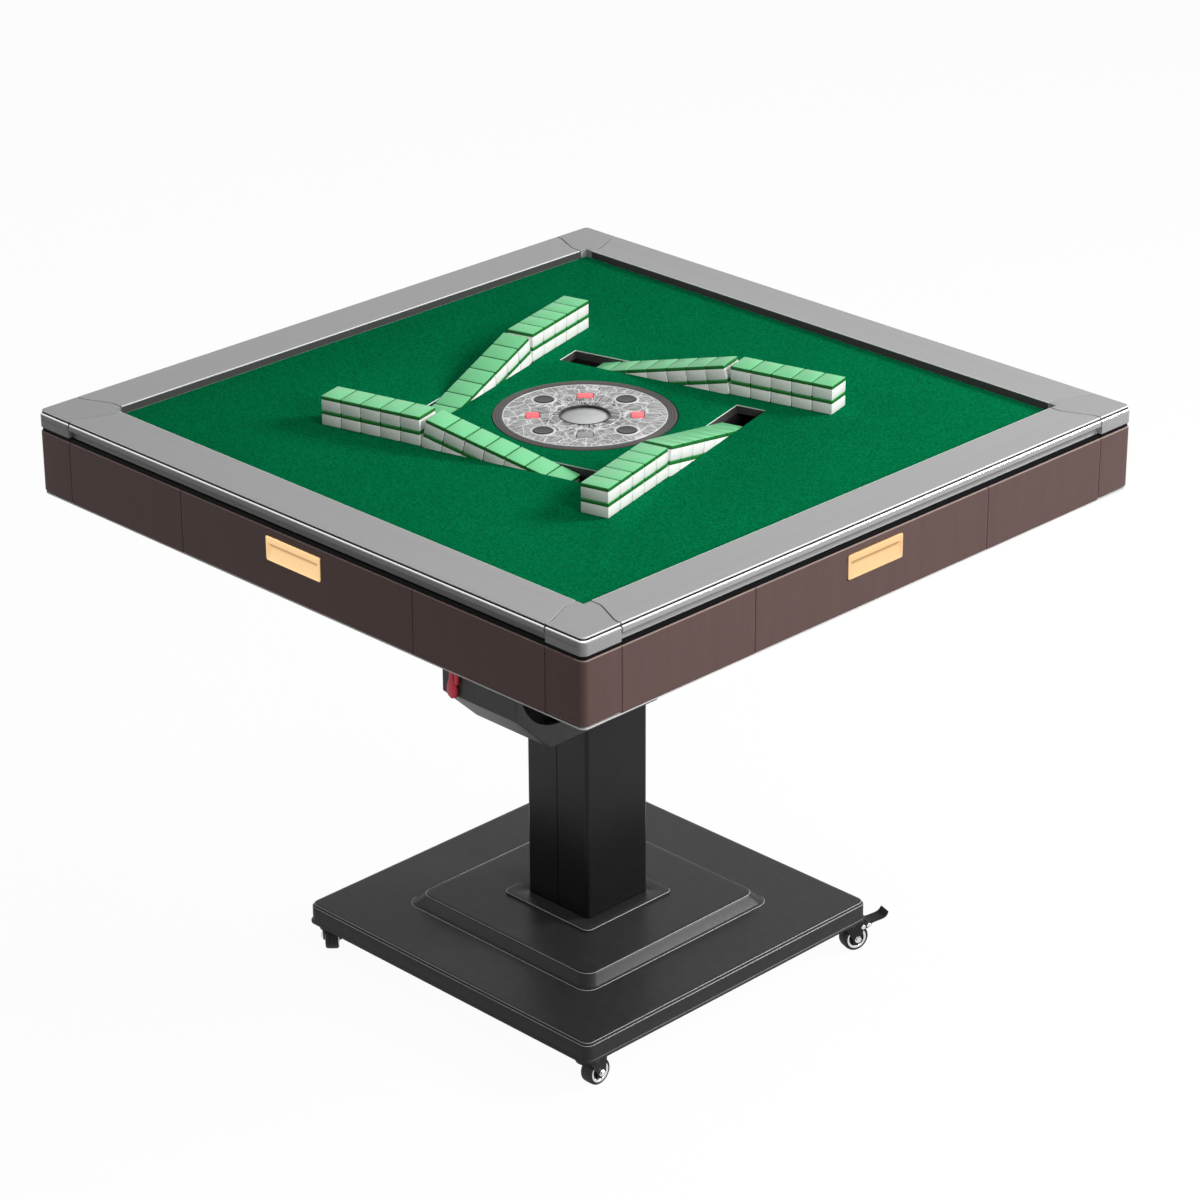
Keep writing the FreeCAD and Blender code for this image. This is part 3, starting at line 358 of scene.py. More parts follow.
class Shader(Nodes):
    """Node material with a few short ways to add textures."""

    def __init__(self, name: str) -> None:
        """Make the material."""
        self.material = bpy.data.materials.new(name)
        self.material.use_nodes = True
        super().__init__(self.material.node_tree)
        self.surface = self.tree.nodes["Principled BSDF"]

    def set(self, **inputs: Value) -> None:
        """Set the surface's inputs; underscores stand for spaces."""
        for key, value in inputs.items():
            self.feed(self.surface, key.replace("_", " "), value)

    def place(self, stretch: tuple = (1.0, 1.0, 1.0), turn: float = 0.0) -> Socket:
        """Object coordinates, stretched and turned about the upright axis."""
        coords = self.node("TexCoord").outputs["Object"]
        spin = self.node("Mapping", {"Vector": coords, "Rotation": (0, 0, math.radians(turn))})
        return self.node("Mapping", {"Vector": spin.outputs[0], "Scale": stretch}).outputs[0]

    def axis(self, number: int, kind: str = "Object") -> Socket:
        """One of the three coordinates of a point's place or normal."""
        return self.node("SeparateXYZ", {0: self.node("TexCoord").outputs[kind]}).outputs[number]

    def flat(self) -> Socket:
        """Place of a point in plan: its X and Y, without its height."""
        return self.node("CombineXYZ", {0: self.axis(0), 1: self.axis(1)}).outputs[0]

    def vector(self, operation: str, first: Socket, second: Value | None = None) -> Socket:
        """One sum of vectors; SCALE takes a number as the second, and LENGTH gives a number."""
        more = {} if second is None else {"Scale" if operation == "SCALE" else 1: second}
        made = self.node("VectorMath", {0: first} | more, operation=operation)
        return made.outputs["Value" if operation == "LENGTH" else 0]

    def noise(self, scale: float, vector: Socket, detail: float = 2.0, rough: float = 0.5) -> Socket:
        """Noise value; scale is in waves per metre."""
        made = self.node("TexNoise", {"Vector": vector, "Scale": scale, "Detail": detail, "Roughness": rough})
        return made.outputs[0]

    def blend(self, first: Socket, second: Socket, share: float = 0.6) -> Socket:
        """Share of one value plus the rest of another."""
        return self.math("ADD", self.math("MULTIPLY", first, share), self.math("MULTIPLY", second, 1 - share))

    def remap(self, value: Socket, source: tuple = (0.3, 0.7), target: tuple = (0.0, 1.0)) -> Socket:
        """Value carried from one range to another and clamped."""
        return self.node("MapRange", {0: value, 1: source[0], 2: source[1], 3: target[0], 4: target[1]}).outputs[0]

    def mix(self, share: Socket, first: Value, second: Value) -> Socket:
        """Colour between two colours."""
        return self.node("Mix", {0: share, 6: first, 7: second}, data_type="RGBA").outputs[2]

    def over(self, share: Socket, colour: Colour, gain: float = 1.0) -> None:
        """Carry the colour that the surface has by now into another one."""
        plain = self.surface.inputs["Base Color"].links[0].from_socket
        self.set(Base_Color=self.mix(share, plain, linear(colour, gain)))

    def bump(self, height: Socket, depth: float) -> None:
        """Relief of a depth in millimetres on the surface."""
        self.set(Normal=self.node("Bump", {"Height": height, "Distance": depth * MM, "Strength": 1.0}).outputs[0])


MADE: dict[str, bpy.types.Material] = {}


@dataclass(frozen=True)
class Finish:
    """Finish with a mottled colour and a fine relief, optionally drawn out along a grain."""

    name: str
    colour: Colour
    roughness: float
    metallic: float = 0.0
    specular: float = 0.5
    coat: float = 0.0
    coat_roughness: float = 0.12
    mottle: float = 0.08
    grain: float = 900.0
    cloud_share: float = 0.06
    stretch: tuple = (1.0, 1.0, 1.0)
    turn: float = 0.0
    relief: float = 0.02
    rough_play: float = 0.06

    def material(self) -> bpy.types.Material:
        """The finish's material, made once."""
        if self.name not in MADE:
            shader = Shader(self.name)
            shader.set(Metallic=self.metallic, Specular_IOR_Level=self.specular)
            if self.coat:
                shader.set(Coat_Weight=self.coat, Coat_Roughness=self.coat_roughness)
            self.dress(shader)
            MADE[self.name] = shader.material
        return MADE[self.name]

    def tone(self, shader: Shader, share: Socket, low: float, high: float) -> None:
        """Colour that goes from a low to a high gain with a share."""
        shader.set(Base_Color=shader.mix(share, linear(self.colour, low), linear(self.colour, high)))

    def uneven(self, shader: Shader, value: Socket) -> None:
        """Roughness that follows a value, by a little to either side."""
        shader.set(Roughness=shader.remap(
            value, target=(self.roughness - self.rough_play, self.roughness + self.rough_play)))

    def dress(self, shader: Shader) -> None:
        """Colour, roughness and relief from one grain and one broad cloud."""
        vector = shader.place(self.stretch, self.turn)
        fine = shader.noise(self.grain, vector, 3.0, 0.6)
        cloud = shader.noise(self.grain * self.cloud_share, vector)
        self.tone(shader, shader.remap(shader.blend(fine, cloud)), 1 - self.mottle, 1 + self.mottle)
        self.uneven(shader, fine)
        shader.bump(fine, self.relief)


@dataclass(frozen=True)
class Cloth(Finish):
    """Felted cloth: short fibres in two sizes, with a soft sheen and a pale cut edge outside the round hole."""

    fibre: float = 300.0
    hair: tuple = (3.1, (1, 0.35, 1), 31.0)
    cloud: tuple = (9.0, 0.12, 0.6)
    cut: Colour = (226, 234, 229)
    hole: tuple = (124.0, 126.0)
    sheen: tuple = (0.02, 0.5, 1.6)

    def dress(self, shader: Shader) -> None:
        """Speckle from two noises, a faint cloud from pressing, the cut edge, and a fibrous relief."""
        vector = shader.place()
        finer, stretch, turn = self.hair
        nap = shader.noise(self.fibre, vector, 2.0, 0.7)
        both = shader.blend(nap, shader.noise(self.fibre * finer, shader.place(stretch, turn), 1.0))
        self.tone(shader, shader.remap(both, (0.33, 0.67)), 1 - self.mottle, 1 + self.mottle)
        scale, most, gain = self.cloud
        shader.over(shader.remap(shader.noise(scale, vector), (0.35, 0.65), (0.0, most)), self.colour, gain)
        steep = shader.remap(shader.math("ABSOLUTE", shader.axis(2, "Normal")), (0.35, 0.8), (1.0, 0.0))
        slots = shader.remap(shader.vector("LENGTH", shader.flat()), (self.hole[0] * MM, self.hole[1] * MM))
        shader.over(shader.math("MULTIPLY", steep, slots), self.cut)
        weight, rough, tint = self.sheen
        shader.set(Roughness=self.roughness, Sheen_Weight=weight, Sheen_Roughness=rough,
                   Sheen_Tint=linear(self.colour, tint))
        shader.bump(both, self.relief)


class Along(Enum):
    """What a second colour, which paints light and shade, follows: the slope of the surface, its height, or its reach
    from the middle.
    """

    SLOPE = "Normal"
    HEIGHT = "Object"
    REACH = "Reach"


@dataclass(frozen=True)
class PaintedLightFinish(Finish):
    """Plain finish that is carried into a second colour, which paints light and shade on it."""

    second: Colour = (0, 0, 0)
    along: Along = Along.SLOPE
    source: tuple = (0.0, 1.0)
    target: tuple = (0.0, 1.0)

    def dress(self, shader: Shader) -> None:
        """The painted light's share follows the normal's rise, the height, or the larger of |x| and |y|."""
        super().dress(shader)
        if self.along is Along.REACH:
            value = shader.math("MAXIMUM", *[shader.math("ABSOLUTE", shader.axis(number)) for number in (0, 1)])
        else:
            value = shader.axis(2, self.along.value)
        shader.over(shader.remap(value, self.source, self.target), self.second)


@dataclass(frozen=True)
class Veined(Finish):
    """Silver face with a cast relief: streaks from the middle, and a web of raised veins."""

    vein: Colour = (232, 232, 232)
    hollow: Colour = (46, 46, 46)
    streaks: tuple = (9.0, 26.0, 2.6)
    warp: tuple = (60.0, 0.010)
    cells: float = 50.0
    vein_edge: tuple = (0.01, 0.055)
    vein_share: float = 0.75
    streak_edge: tuple = (0.46, 0.56)
    fade: tuple = (0.04, 0.075)
    fade_share: float = 0.42

    def dress(self, shader: Shader) -> None:
        """Streaks are noise over angle and radius; veins are where cells of a web meet."""
        flat = shader.flat()
        radius = shader.vector("LENGTH", flat)
        round_scale, out_scale, scale = self.streaks
        lifted = shader.node("CombineXYZ", {2: shader.math("MULTIPLY", radius, out_scale)}).outputs[0]
        way = shader.vector("SCALE", shader.vector("NORMALIZE", flat), round_scale)
        streak = shader.noise(scale, shader.vector("ADD", way, lifted), 3.0, 0.6)
        wobble = shader.node("TexNoise", {"Vector": flat, "Scale": self.warp[0], "Detail": 2.0}).outputs[1]
        warped = shader.vector("ADD", flat, shader.vector("SCALE", wobble, self.warp[1]))
        web = shader.node("TexVoronoi", {"Vector": warped, "Scale": self.cells}, feature="DISTANCE_TO_EDGE")
        veins = shader.remap(web.outputs[0], self.vein_edge, (1.0, 0.0))
        near = shader.remap(radius, self.fade, (1.0, self.fade_share))
        dark = shader.math("MULTIPLY", shader.remap(streak, self.streak_edge), near)
        shader.set(Base_Color=shader.mix(dark, linear(self.colour), linear(self.hollow)))
        shader.over(shader.math("MULTIPLY", veins, self.vein_share), self.vein)
        self.uneven(shader, streak)
        shader.bump(shader.math("SUBTRACT", veins, dark), self.relief)


@dataclass(frozen=True)
class Clear(Finish):
    """Clear moulded cover, lightly frosted, with painted light: painted shade to one side and a painted highlight to
    the other.
    """

    radius: float = 32.5
    painted_light_gains: tuple = (0.8, 1.7)
    slant: float = 0.4
    through: float = 0.3
    refraction: float = 1.46

    def dress(self, shader: Shader) -> None:
        """Constants for the clear body, painted light that goes from dark to pale across it, and a roughness that
        varies a little.
        """
        across = shader.math("SUBTRACT", shader.axis(0), shader.math("MULTIPLY", shader.axis(1), self.slant))
        self.tone(shader, shader.remap(across, (-self.radius * MM, self.radius * MM)), *self.painted_light_gains)
        shader.set(Transmission_Weight=self.through, IOR=self.refraction)
        self.uneven(shader, shader.noise(self.grain, shader.place()))


@dataclass(frozen=True)
class Lit(Finish):
    """Coloured lens with a lamp behind it."""

    glow: float = 0.25

    def dress(self, shader: Shader) -> None:
        """The plain finish with a steady glow of its own colour."""
        super().dress(shader)
        shader.set(Emission_Color=linear(self.colour), Emission_Strength=self.glow)


ALONG_X = (0.012, 1.0, 1.0)
ALONG_Z = (1.0, 1.0, 0.03)
FRAME_X = Finish("frame_metal_x", (154, 154, 154), 0.45, 0.0, 0.1, mottle=0.05, grain=1500.0, stretch=ALONG_X,
                 relief=0.012)
FRAME_Y = replace(FRAME_X, name="frame_metal_y", turn=90.0)
FRAME_CORNER = Finish("frame_corner", (151, 151, 151), 0.46, 0.0, 0.1, mottle=0.04, grain=1400.0, relief=0.012)
# Painted highlight: pale lines on the rounded outer crown and the inner top edge of the frame.
FRAME_EDGE_HIGHLIGHT = Finish("frame_edge_painted_highlight", (214, 214, 214), 0.5, 0.1, 0.2, mottle=0.03, relief=0.005)
# Painted highlight: a bright line along the bead below the groove.
BEAD_HIGHLIGHT = Finish("frame_bead_painted_highlight", (240, 240, 240), 0.28, 1.0, mottle=0.02, relief=0.005)
# Black for painted shade: strips in the groove under the crown, and the seal in the gap under the frame.
PAINTED_SHADE_BLACK = Finish("frame_painted_shade_black", (12, 12, 12), 0.6, 0.0, 0.05, mottle=0.2)
# Dark strip on the rails' inner walls: partly the walls' own darker grey, partly painted shade.
INNER_WALL_SHADE = Finish("frame_inner_wall", (70, 70, 70), 0.6, 0.0, 0.1, mottle=0.1)
FELT = Cloth("felt_cloth", (4, 102, 61), 0.95, 0.0, 0.0, mottle=0.6, relief=0.4, fibre=420.0)
# Painted highlight: the apron boards turn pale in a thin band along their rounded top edge, above about 775.4 mm.
LAMINATE = PaintedLightFinish("brown_laminate", (94, 75, 72), 0.45, 0.0, 0.1, mottle=0.1, grain=800.0, stretch=ALONG_Z,
                  second=(172, 150, 144), along=Along.HEIGHT, source=(0.77535, 0.77575), target=(0.0, 0.9))
# Painted shade: where a pull's scoop sinks deeper than about 2.5 mm, under its lip, it turns dark brown.
GILT = PaintedLightFinish("satin_gold", (250, 210, 155), 0.38, 1.0, 0.4, mottle=0.04, grain=1300.0, stretch=ALONG_X, relief=0.01,
              second=(165, 120, 72), along=Along.REACH, source=(0.49877, 0.499), target=(0.8, 0.0))
COATED = Finish("black_powder_coat", (46, 45, 45), 0.36, 0.0, 0.16, mottle=0.25, grain=1100.0, relief=0.05)
# Painted highlight: pale grey lines on the edges of the base and its flange.
BASE_EDGE_HIGHLIGHT = Finish("base_edge_painted_highlight", (160, 159, 158), 0.4, 0.0, 0.3, mottle=0.05)
MOULDED = Finish("black_moulding", (34, 34, 34), 0.42, 0.0, 0.12, mottle=0.15, grain=1600.0, relief=0.03)
COLUMN = Finish("column_coat", (19, 19, 19), 0.3, 0.0, 0.21, mottle=0.15, grain=1600.0)
STEEL = Finish("bare_steel", (165, 166, 168), 0.34, 1.0, mottle=0.06, grain=700.0, stretch=(1, 0.05, 1), relief=0.01)
TRAY = Finish("pale_grey_paint", (206, 204, 202), 0.45, mottle=0.03)
BOARD = Finish("dark_pressed_board", (62, 58, 59), 0.45, 0.0, 0.4, mottle=0.2, grain=700.0, relief=0.06)
TILE_WHITE = Finish("tile_white", (240, 239, 237), 0.25, 0.0, 0.3, 0.1, mottle=0.015, grain=300.0, relief=0.004)
# Painted shade: the green backs turn a darker green on their steep sides, by the slope of the normal.
TILE_GREEN = PaintedLightFinish("tile_green", (112, 196, 138), 0.34, 0.0, 0.2, 0.05, mottle=0.03, grain=240.0, relief=0.004,
                    second=(30, 110, 45), along=Along.SLOPE, source=(0.5, 0.92), target=(1.0, 0.0))
RING_GREY = Finish("console_ring_grey", (70, 66, 65), 0.42, 0.1, 0.2, mottle=0.06, grain=1200.0, relief=0.01)
FACE_SILVER = Veined("console_silver", (168, 168, 168), 0.45, 0.2, 0.3, relief=0.6, rough_play=0.08)
TRIM_SILVER = Finish("console_trim", (206, 206, 206), 0.35, 0.2, 0.4, mottle=0.03, relief=0.01)
DOME = Clear("frosted_cover", (172, 173, 173), 0.22, grain=400.0, rough_play=0.04)
BUTTON = Finish("button_dark", (36, 36, 36), 0.35, 0.0, 0.25, 0.1, mottle=0.12, relief=0.01)
RED_LENS = Lit("signal_lens_red", (236, 84, 94), 0.25, mottle=0.07, grain=600.0)
GREY_LENS = Finish("signal_lens_off", (140, 138, 138), 0.3, 0.0, 0.3, mottle=0.05, grain=600.0)
LEVER_RED = Finish("lever_red", (226, 26, 62), 0.36, grain=1200.0)
TYRE = Finish("tyre_rubber", (20, 20, 21), 0.62, 0.0, 0.35, mottle=0.2, grain=1400.0, relief=0.05)
CHROME = Finish("bright_plate", (216, 217, 219), 0.16, 1.0, mottle=0.03, grain=500.0, relief=0.004, rough_play=0.03)
FORK = Finish("black_pressed_steel", (26, 26, 27), 0.36, 0.0, 0.2, mottle=0.15, grain=1300.0)
HEAD = Finish("head_coat", (66, 66, 66), 0.45, 0.0, 0.2, mottle=0.2, grain=1100.0, relief=0.08)
RUBBER = Finish("pad_rubber", (24, 24, 24), 0.7, 0.0, 0.3, mottle=0.2, grain=1100.0, relief=0.05)
DICE = Finish("dice_white", (240, 238, 232), 0.25, coat=0.3, mottle=0.02, grain=300.0, relief=0.003)

SLOT_FINISH = {
    "frame_grey": FRAME_CORNER, "felt_green": FELT, "apron_brown": LAMINATE, "pull_gold": GILT,
    "black_paint": COATED, "black_plastic": MOULDED, "bare_steel": STEEL, "tray_grey": TRAY, "board_wood": BOARD,
    "tile_white": TILE_WHITE, "tile_green": TILE_GREEN, "console_dark": RING_GREY, "console_silver": FACE_SILVER,
    "dome_clear": DOME, "button_dark": BUTTON, "signal_red": RED_LENS, "lever_red": LEVER_RED,
    "caster_tyre": TYRE, "caster_chrome": CHROME, "pad_rubber": RUBBER,
}
NODE_FINISH = {"chassis_frame": FORK, "hinge_leaf": FORK, "head_plate": FORK, "head_shell": HEAD} | {
    "caster_fork_" + corner: FORK for corner in ("front_right", "back_right", "back_left", "front_left")}


# Sub-assemblies

@dataclass
class Corner:
    """Front right corner seen from above: a straight run, a quarter circle and a straight run.

    Its path starts on the front at X = start; lead is how far its second point lies from the first.
    """

    half: float
    radius: float
    start: float
    lead: float
    count: int = 9

    def path(self, inset: Array) -> Array:
        """Paths inside the square by the given insets, as a grid of insets by points by 2."""
        d = np.asarray(inset, float)[:, None]
        a = np.linspace(0, math.pi / 2, self.count)[None]
        first, second = self.start + 0 * d, self.start + self.lead + 0 * d
        centre, side, bow = self.half - self.radius, self.half - d, self.radius - d
        x = np.concatenate([first, second, centre + bow * np.sin(a), side, side], 1)
        y = np.concatenate([-side, -side, -centre - bow * np.cos(a), -second, -first], 1)
        return np.stack([x, y], -1)

    def walls(self, section: Array, eased: Array) -> Array:
        """Section carried along the path, with a smaller section at both ends.

        Args:
            section: inset and height of each point.
            eased: the same for the two ends.

        Returns:
            Grid of section points by path points by 3.
        """
        path, ends = self.path(section[:, 0]), self.path(eased[:, 0])
        level = np.repeat(section[:, 1:], path.shape[1], 1)
        path[:, [0, -1]] = ends[:, [0, -1]]
        level[:, [0, -1]] = eased[:, 1:]
        return np.concatenate([path, level[..., None]], -1)


@dataclass
class TopFrame:
    """Grey frame: four rails with a hollow band, and four corner blocks with curved seams."""

    half: float = 500.0
    width: float = 70.0
    top: float = 805.0
    bottom: float = 782.0
    corner_radius: float = 9.0
    seam: float = 437.0
    seam_shift: float = 18.5
    seam_start: float = 12.0
    seam_end: float = 53.0
    seam_bend: float = 4.0
    gap: float = 0.75
    edge: float = 0.55
    inner_edge: tuple = (0.25, 0.8)
    inner_drop: float = 0.6
    spread: tuple = (0.36, 0.64)
    rail_rows: int = 28
    corner_rows: int = 26
    cove: tuple = ((6.0, 782.0), (10.5, 788.6), (1.5, 793.0))
    lip_foot: tuple = ((0.4, 793.05), (0.0, 793.5))
    band_line: tuple = ((0.5, 782.0), (0.0, 782.5), (0.0, 791.9), (0.55, 792.3), (0.55, 792.7), (0.0, 793.1))
    bead: tuple = ((0.0, 799.3), (0.1, 799.6), (1.8, 800.8), (2.9, 800.9), (3.3, 801.2), (3.3, 802.6),
                   (2.9, 802.9), (2.1, 803.0))
    crown: float = 1.8
    crown_inset: float = 2.0
    # line_out and line_in are painted highlights on the crown and on the inner top edge.
    line_out: tuple = ((2.18, 804.13), (2.6, 804.63), (3.1, 804.93), (3.2, 804.6), (2.6, 803.95))
    # line_bead is a painted highlight on the bead's chamfer.
    line_bead: tuple = ((-0.03, 799.45), (1.75, 800.88), (1.9, 800.97), (1.95, 800.7), (0.2, 799.3))
    line_in: tuple = ((68.9, 804.9), (69.0, 805.12), (69.7, 805.0), (70.05, 804.6), (70.05, 803.8), (69.6, 803.8))
    # Painted shade: a black strip on the groove's wall.
    groove_shade_line: tuple = ((1.9, 800.85), (1.9, 801.05), (2.6, 801.05), (2.6, 802.95), (3.4, 802.95), (3.4, 800.85))
    # Strip just proud of the inner wall, darker partly for its own grey and partly as painted shade.
    inner_wall_shade: tuple = ((70.0, 794.2), (70.25, 794.2), (70.25, 803.6), (70.0, 803.6))
    # The seal is a black strip in the gap between frame and apron: partly the dark carcass there, partly painted shade.
    seal: tuple = ((1.8, 776.8), (1.8, 781.8), (11.5, 781.8), (11.5, 776.8))

    def block(self) -> Corner:
        """Outline of the front right block."""
        return Corner(self.half, self.corner_radius, self.seam + self.gap, self.edge)

    def along(self, section: Array, end: Array) -> Array:
        """Section of the front rail set at one place along X for each of its points."""
        return np.stack([end, section[:, 0] - self.half, section[:, 1]], -1)

    def line(self, section: tuple) -> Array:
        """Thin line along the front rail: its section carried from seam to seam."""
        shape = np.array(section)
        end = self.seam_x(shape[:, 0]) - self.gap - self.edge
        return np.stack([self.along(shape, sign * end) for sign in (-1, 1)], 1)

    def corner_line(self, section: tuple) -> Array:
        """Thin line round the front right block: its section carried along the corner's outline."""
        shape = np.array(section)
        return self.block().walls(shape, shape)

    def seam_x(self, inset: Array) -> Array:
        """Place of the seam at each inset: straight, slanted and straight again, with parabolas as bends.

        Past a bend the run is t = inset - bend; within its half length h the run is (t + h)^2 / 4h instead.
        """
        h = self.seam_bend
        t = np.asarray(inset, float)[..., None] - np.array([self.seam_start, self.seam_end])
        run = np.where(t > h, t, np.clip(t + h, 0, None) ** 2 / (4 * h))
        return self.seam - self.seam_shift * (run[..., 0] - run[..., 1]) / (self.seam_end - self.seam_start)

    def outer_edge(self) -> Array:
        """Bead, groove and rounded crown of the outer edge, as inset and height."""
        crown = arc((self.crown_inset + self.crown, self.top - self.crown), self.crown, 180, 90, 7)
        return np.concatenate([np.array(self.bead), crown])

    def rail(self) -> Array:
        """Front rail: its section carried along X to the seam on each side, with eased ends."""
        near, far = self.inner_edge
        plain = np.linspace(self.crown_inset + self.crown, self.width - far, self.rail_rows)[1:]
        flat = np.stack([plain, np.full_like(plain, self.top)], -1)
        inner = [(self.width - near, self.top - near), (self.width, self.top - far), (self.width, self.bottom)]
        section = np.concatenate([bend(*self.cove, 10), np.array(self.lip_foot), self.outer_edge(), flat,
                                  np.array(inner)])
        eased = section + self.edge * inward(section)
        end = self.seam_x(section[:, 0]) - self.gap
        inside = end - self.edge
        return np.stack([self.along(eased, -end), self.along(section, -inside), self.along(section, inside),
                         self.along(eased, end)], 1)

    def corner(self) -> Array:
        """Front right block: rounded sides, and a top that spans its four boundary curves.

        The top is the sum of the two ruled spans between opposite boundaries, less the span of its corners.
        """
        side = np.concatenate([np.array(self.band_line), self.outer_edge()])
        closed = np.concatenate([side, [(self.width, self.top), (self.width, self.bottom)]])
        eased = (closed + self.edge * inward(closed))[:len(side)]
        block = self.block()
        outer = block.path(side[-1:, 0])[0]
        lead = self.edge / (self.half - block.start)
        t = np.concatenate([[0, lead], np.linspace(*self.spread, len(outer) - 4), [1 - lead, 1]])[None, :, None]
        w = np.linspace(0, 1, self.corner_rows)[1:, None, None]
        inset = side[-1, 0] + w[:, 0, 0] * (self.width - side[-1, 0])
        near = np.stack([self.seam_x(inset) + self.gap, inset - self.half], -1)[:, None]
        far = np.stack([-near[..., 1], -near[..., 0]], -1)
        in_start, in_end = near[-1, 0], far[-1, 0]
        in_corner = np.array([in_end[0], in_start[1]])
        share, rest = np.clip(t * 2, 0, 1), np.clip(t * 2 - 1, 0, 1)
        inner = in_start + share * (in_corner - in_start) + rest * (in_end - in_corner)
        corners = (1 - w) * ((1 - t) * outer[0] + t * outer[-1]) + w * ((1 - t) * in_start + t * in_end)
        plan = (1 - w) * outer + w * inner + (1 - t) * near + t * far - corners
        level = np.full(plan.shape[:2] + (1,), self.top)
        level[:, [0, -1]] -= self.edge
        level[-1] -= self.inner_drop
        tops = np.concatenate([plan, level], -1)
        foot = tops[-1:].copy()
        foot[..., 2] = self.bottom
        return np.concatenate([block.walls(side, eased), tops, foot])

    def build(self) -> None:
        """Two pairs of rails, brushed along their length, the corner blocks, and the lines on both: painted highlights
        on the edges and the bead, painted shade in the groove, a darker inner wall with painted shade, and a black seal
        with painted shade in the gap.
        """
        rail = self.rail()
        for name, finish, node, grid, turns in (
                ("rails_front_back", FRAME_X, "frame_rails", rail, (0, 2)),
                ("rails_left_right", FRAME_Y, "frame_rails", rail, (1, 3)),
                ("corner_blocks", FRAME_CORNER, "frame_corners", self.corner(), (0, 1, 2, 3))):
            Mesher().quarters(grid, Join.STRIP, turns).build(name, finish, "top", "frame_grey", node, sharp=30.0)
        for name, finish, slot, rails, corners in (
                ("frame_edge_highlight_lines", FRAME_EDGE_HIGHLIGHT, "frame_grey", (self.line_out, self.line_in), (self.line_out,)),
                ("frame_bead_lines", BEAD_HIGHLIGHT, "frame_grey", (self.line_bead,), (self.line_bead,)),
                ("frame_groove_shade_lines", PAINTED_SHADE_BLACK, "frame_grey", (self.groove_shade_line,), (self.groove_shade_line,)),
                ("frame_inner_walls", INNER_WALL_SHADE, "frame_grey", (self.inner_wall_shade,), ()),
                ("frame_gap_seal", PAINTED_SHADE_BLACK, "black_paint", (self.seal,), (self.seal,))):
            mesher = Mesher()
            for grid in [self.line(section) for section in rails] + [self.corner_line(section) for section in corners]:
                mesher.quarters(grid, Join.STRIP)
            mesher.build(name, finish, "top", slot)


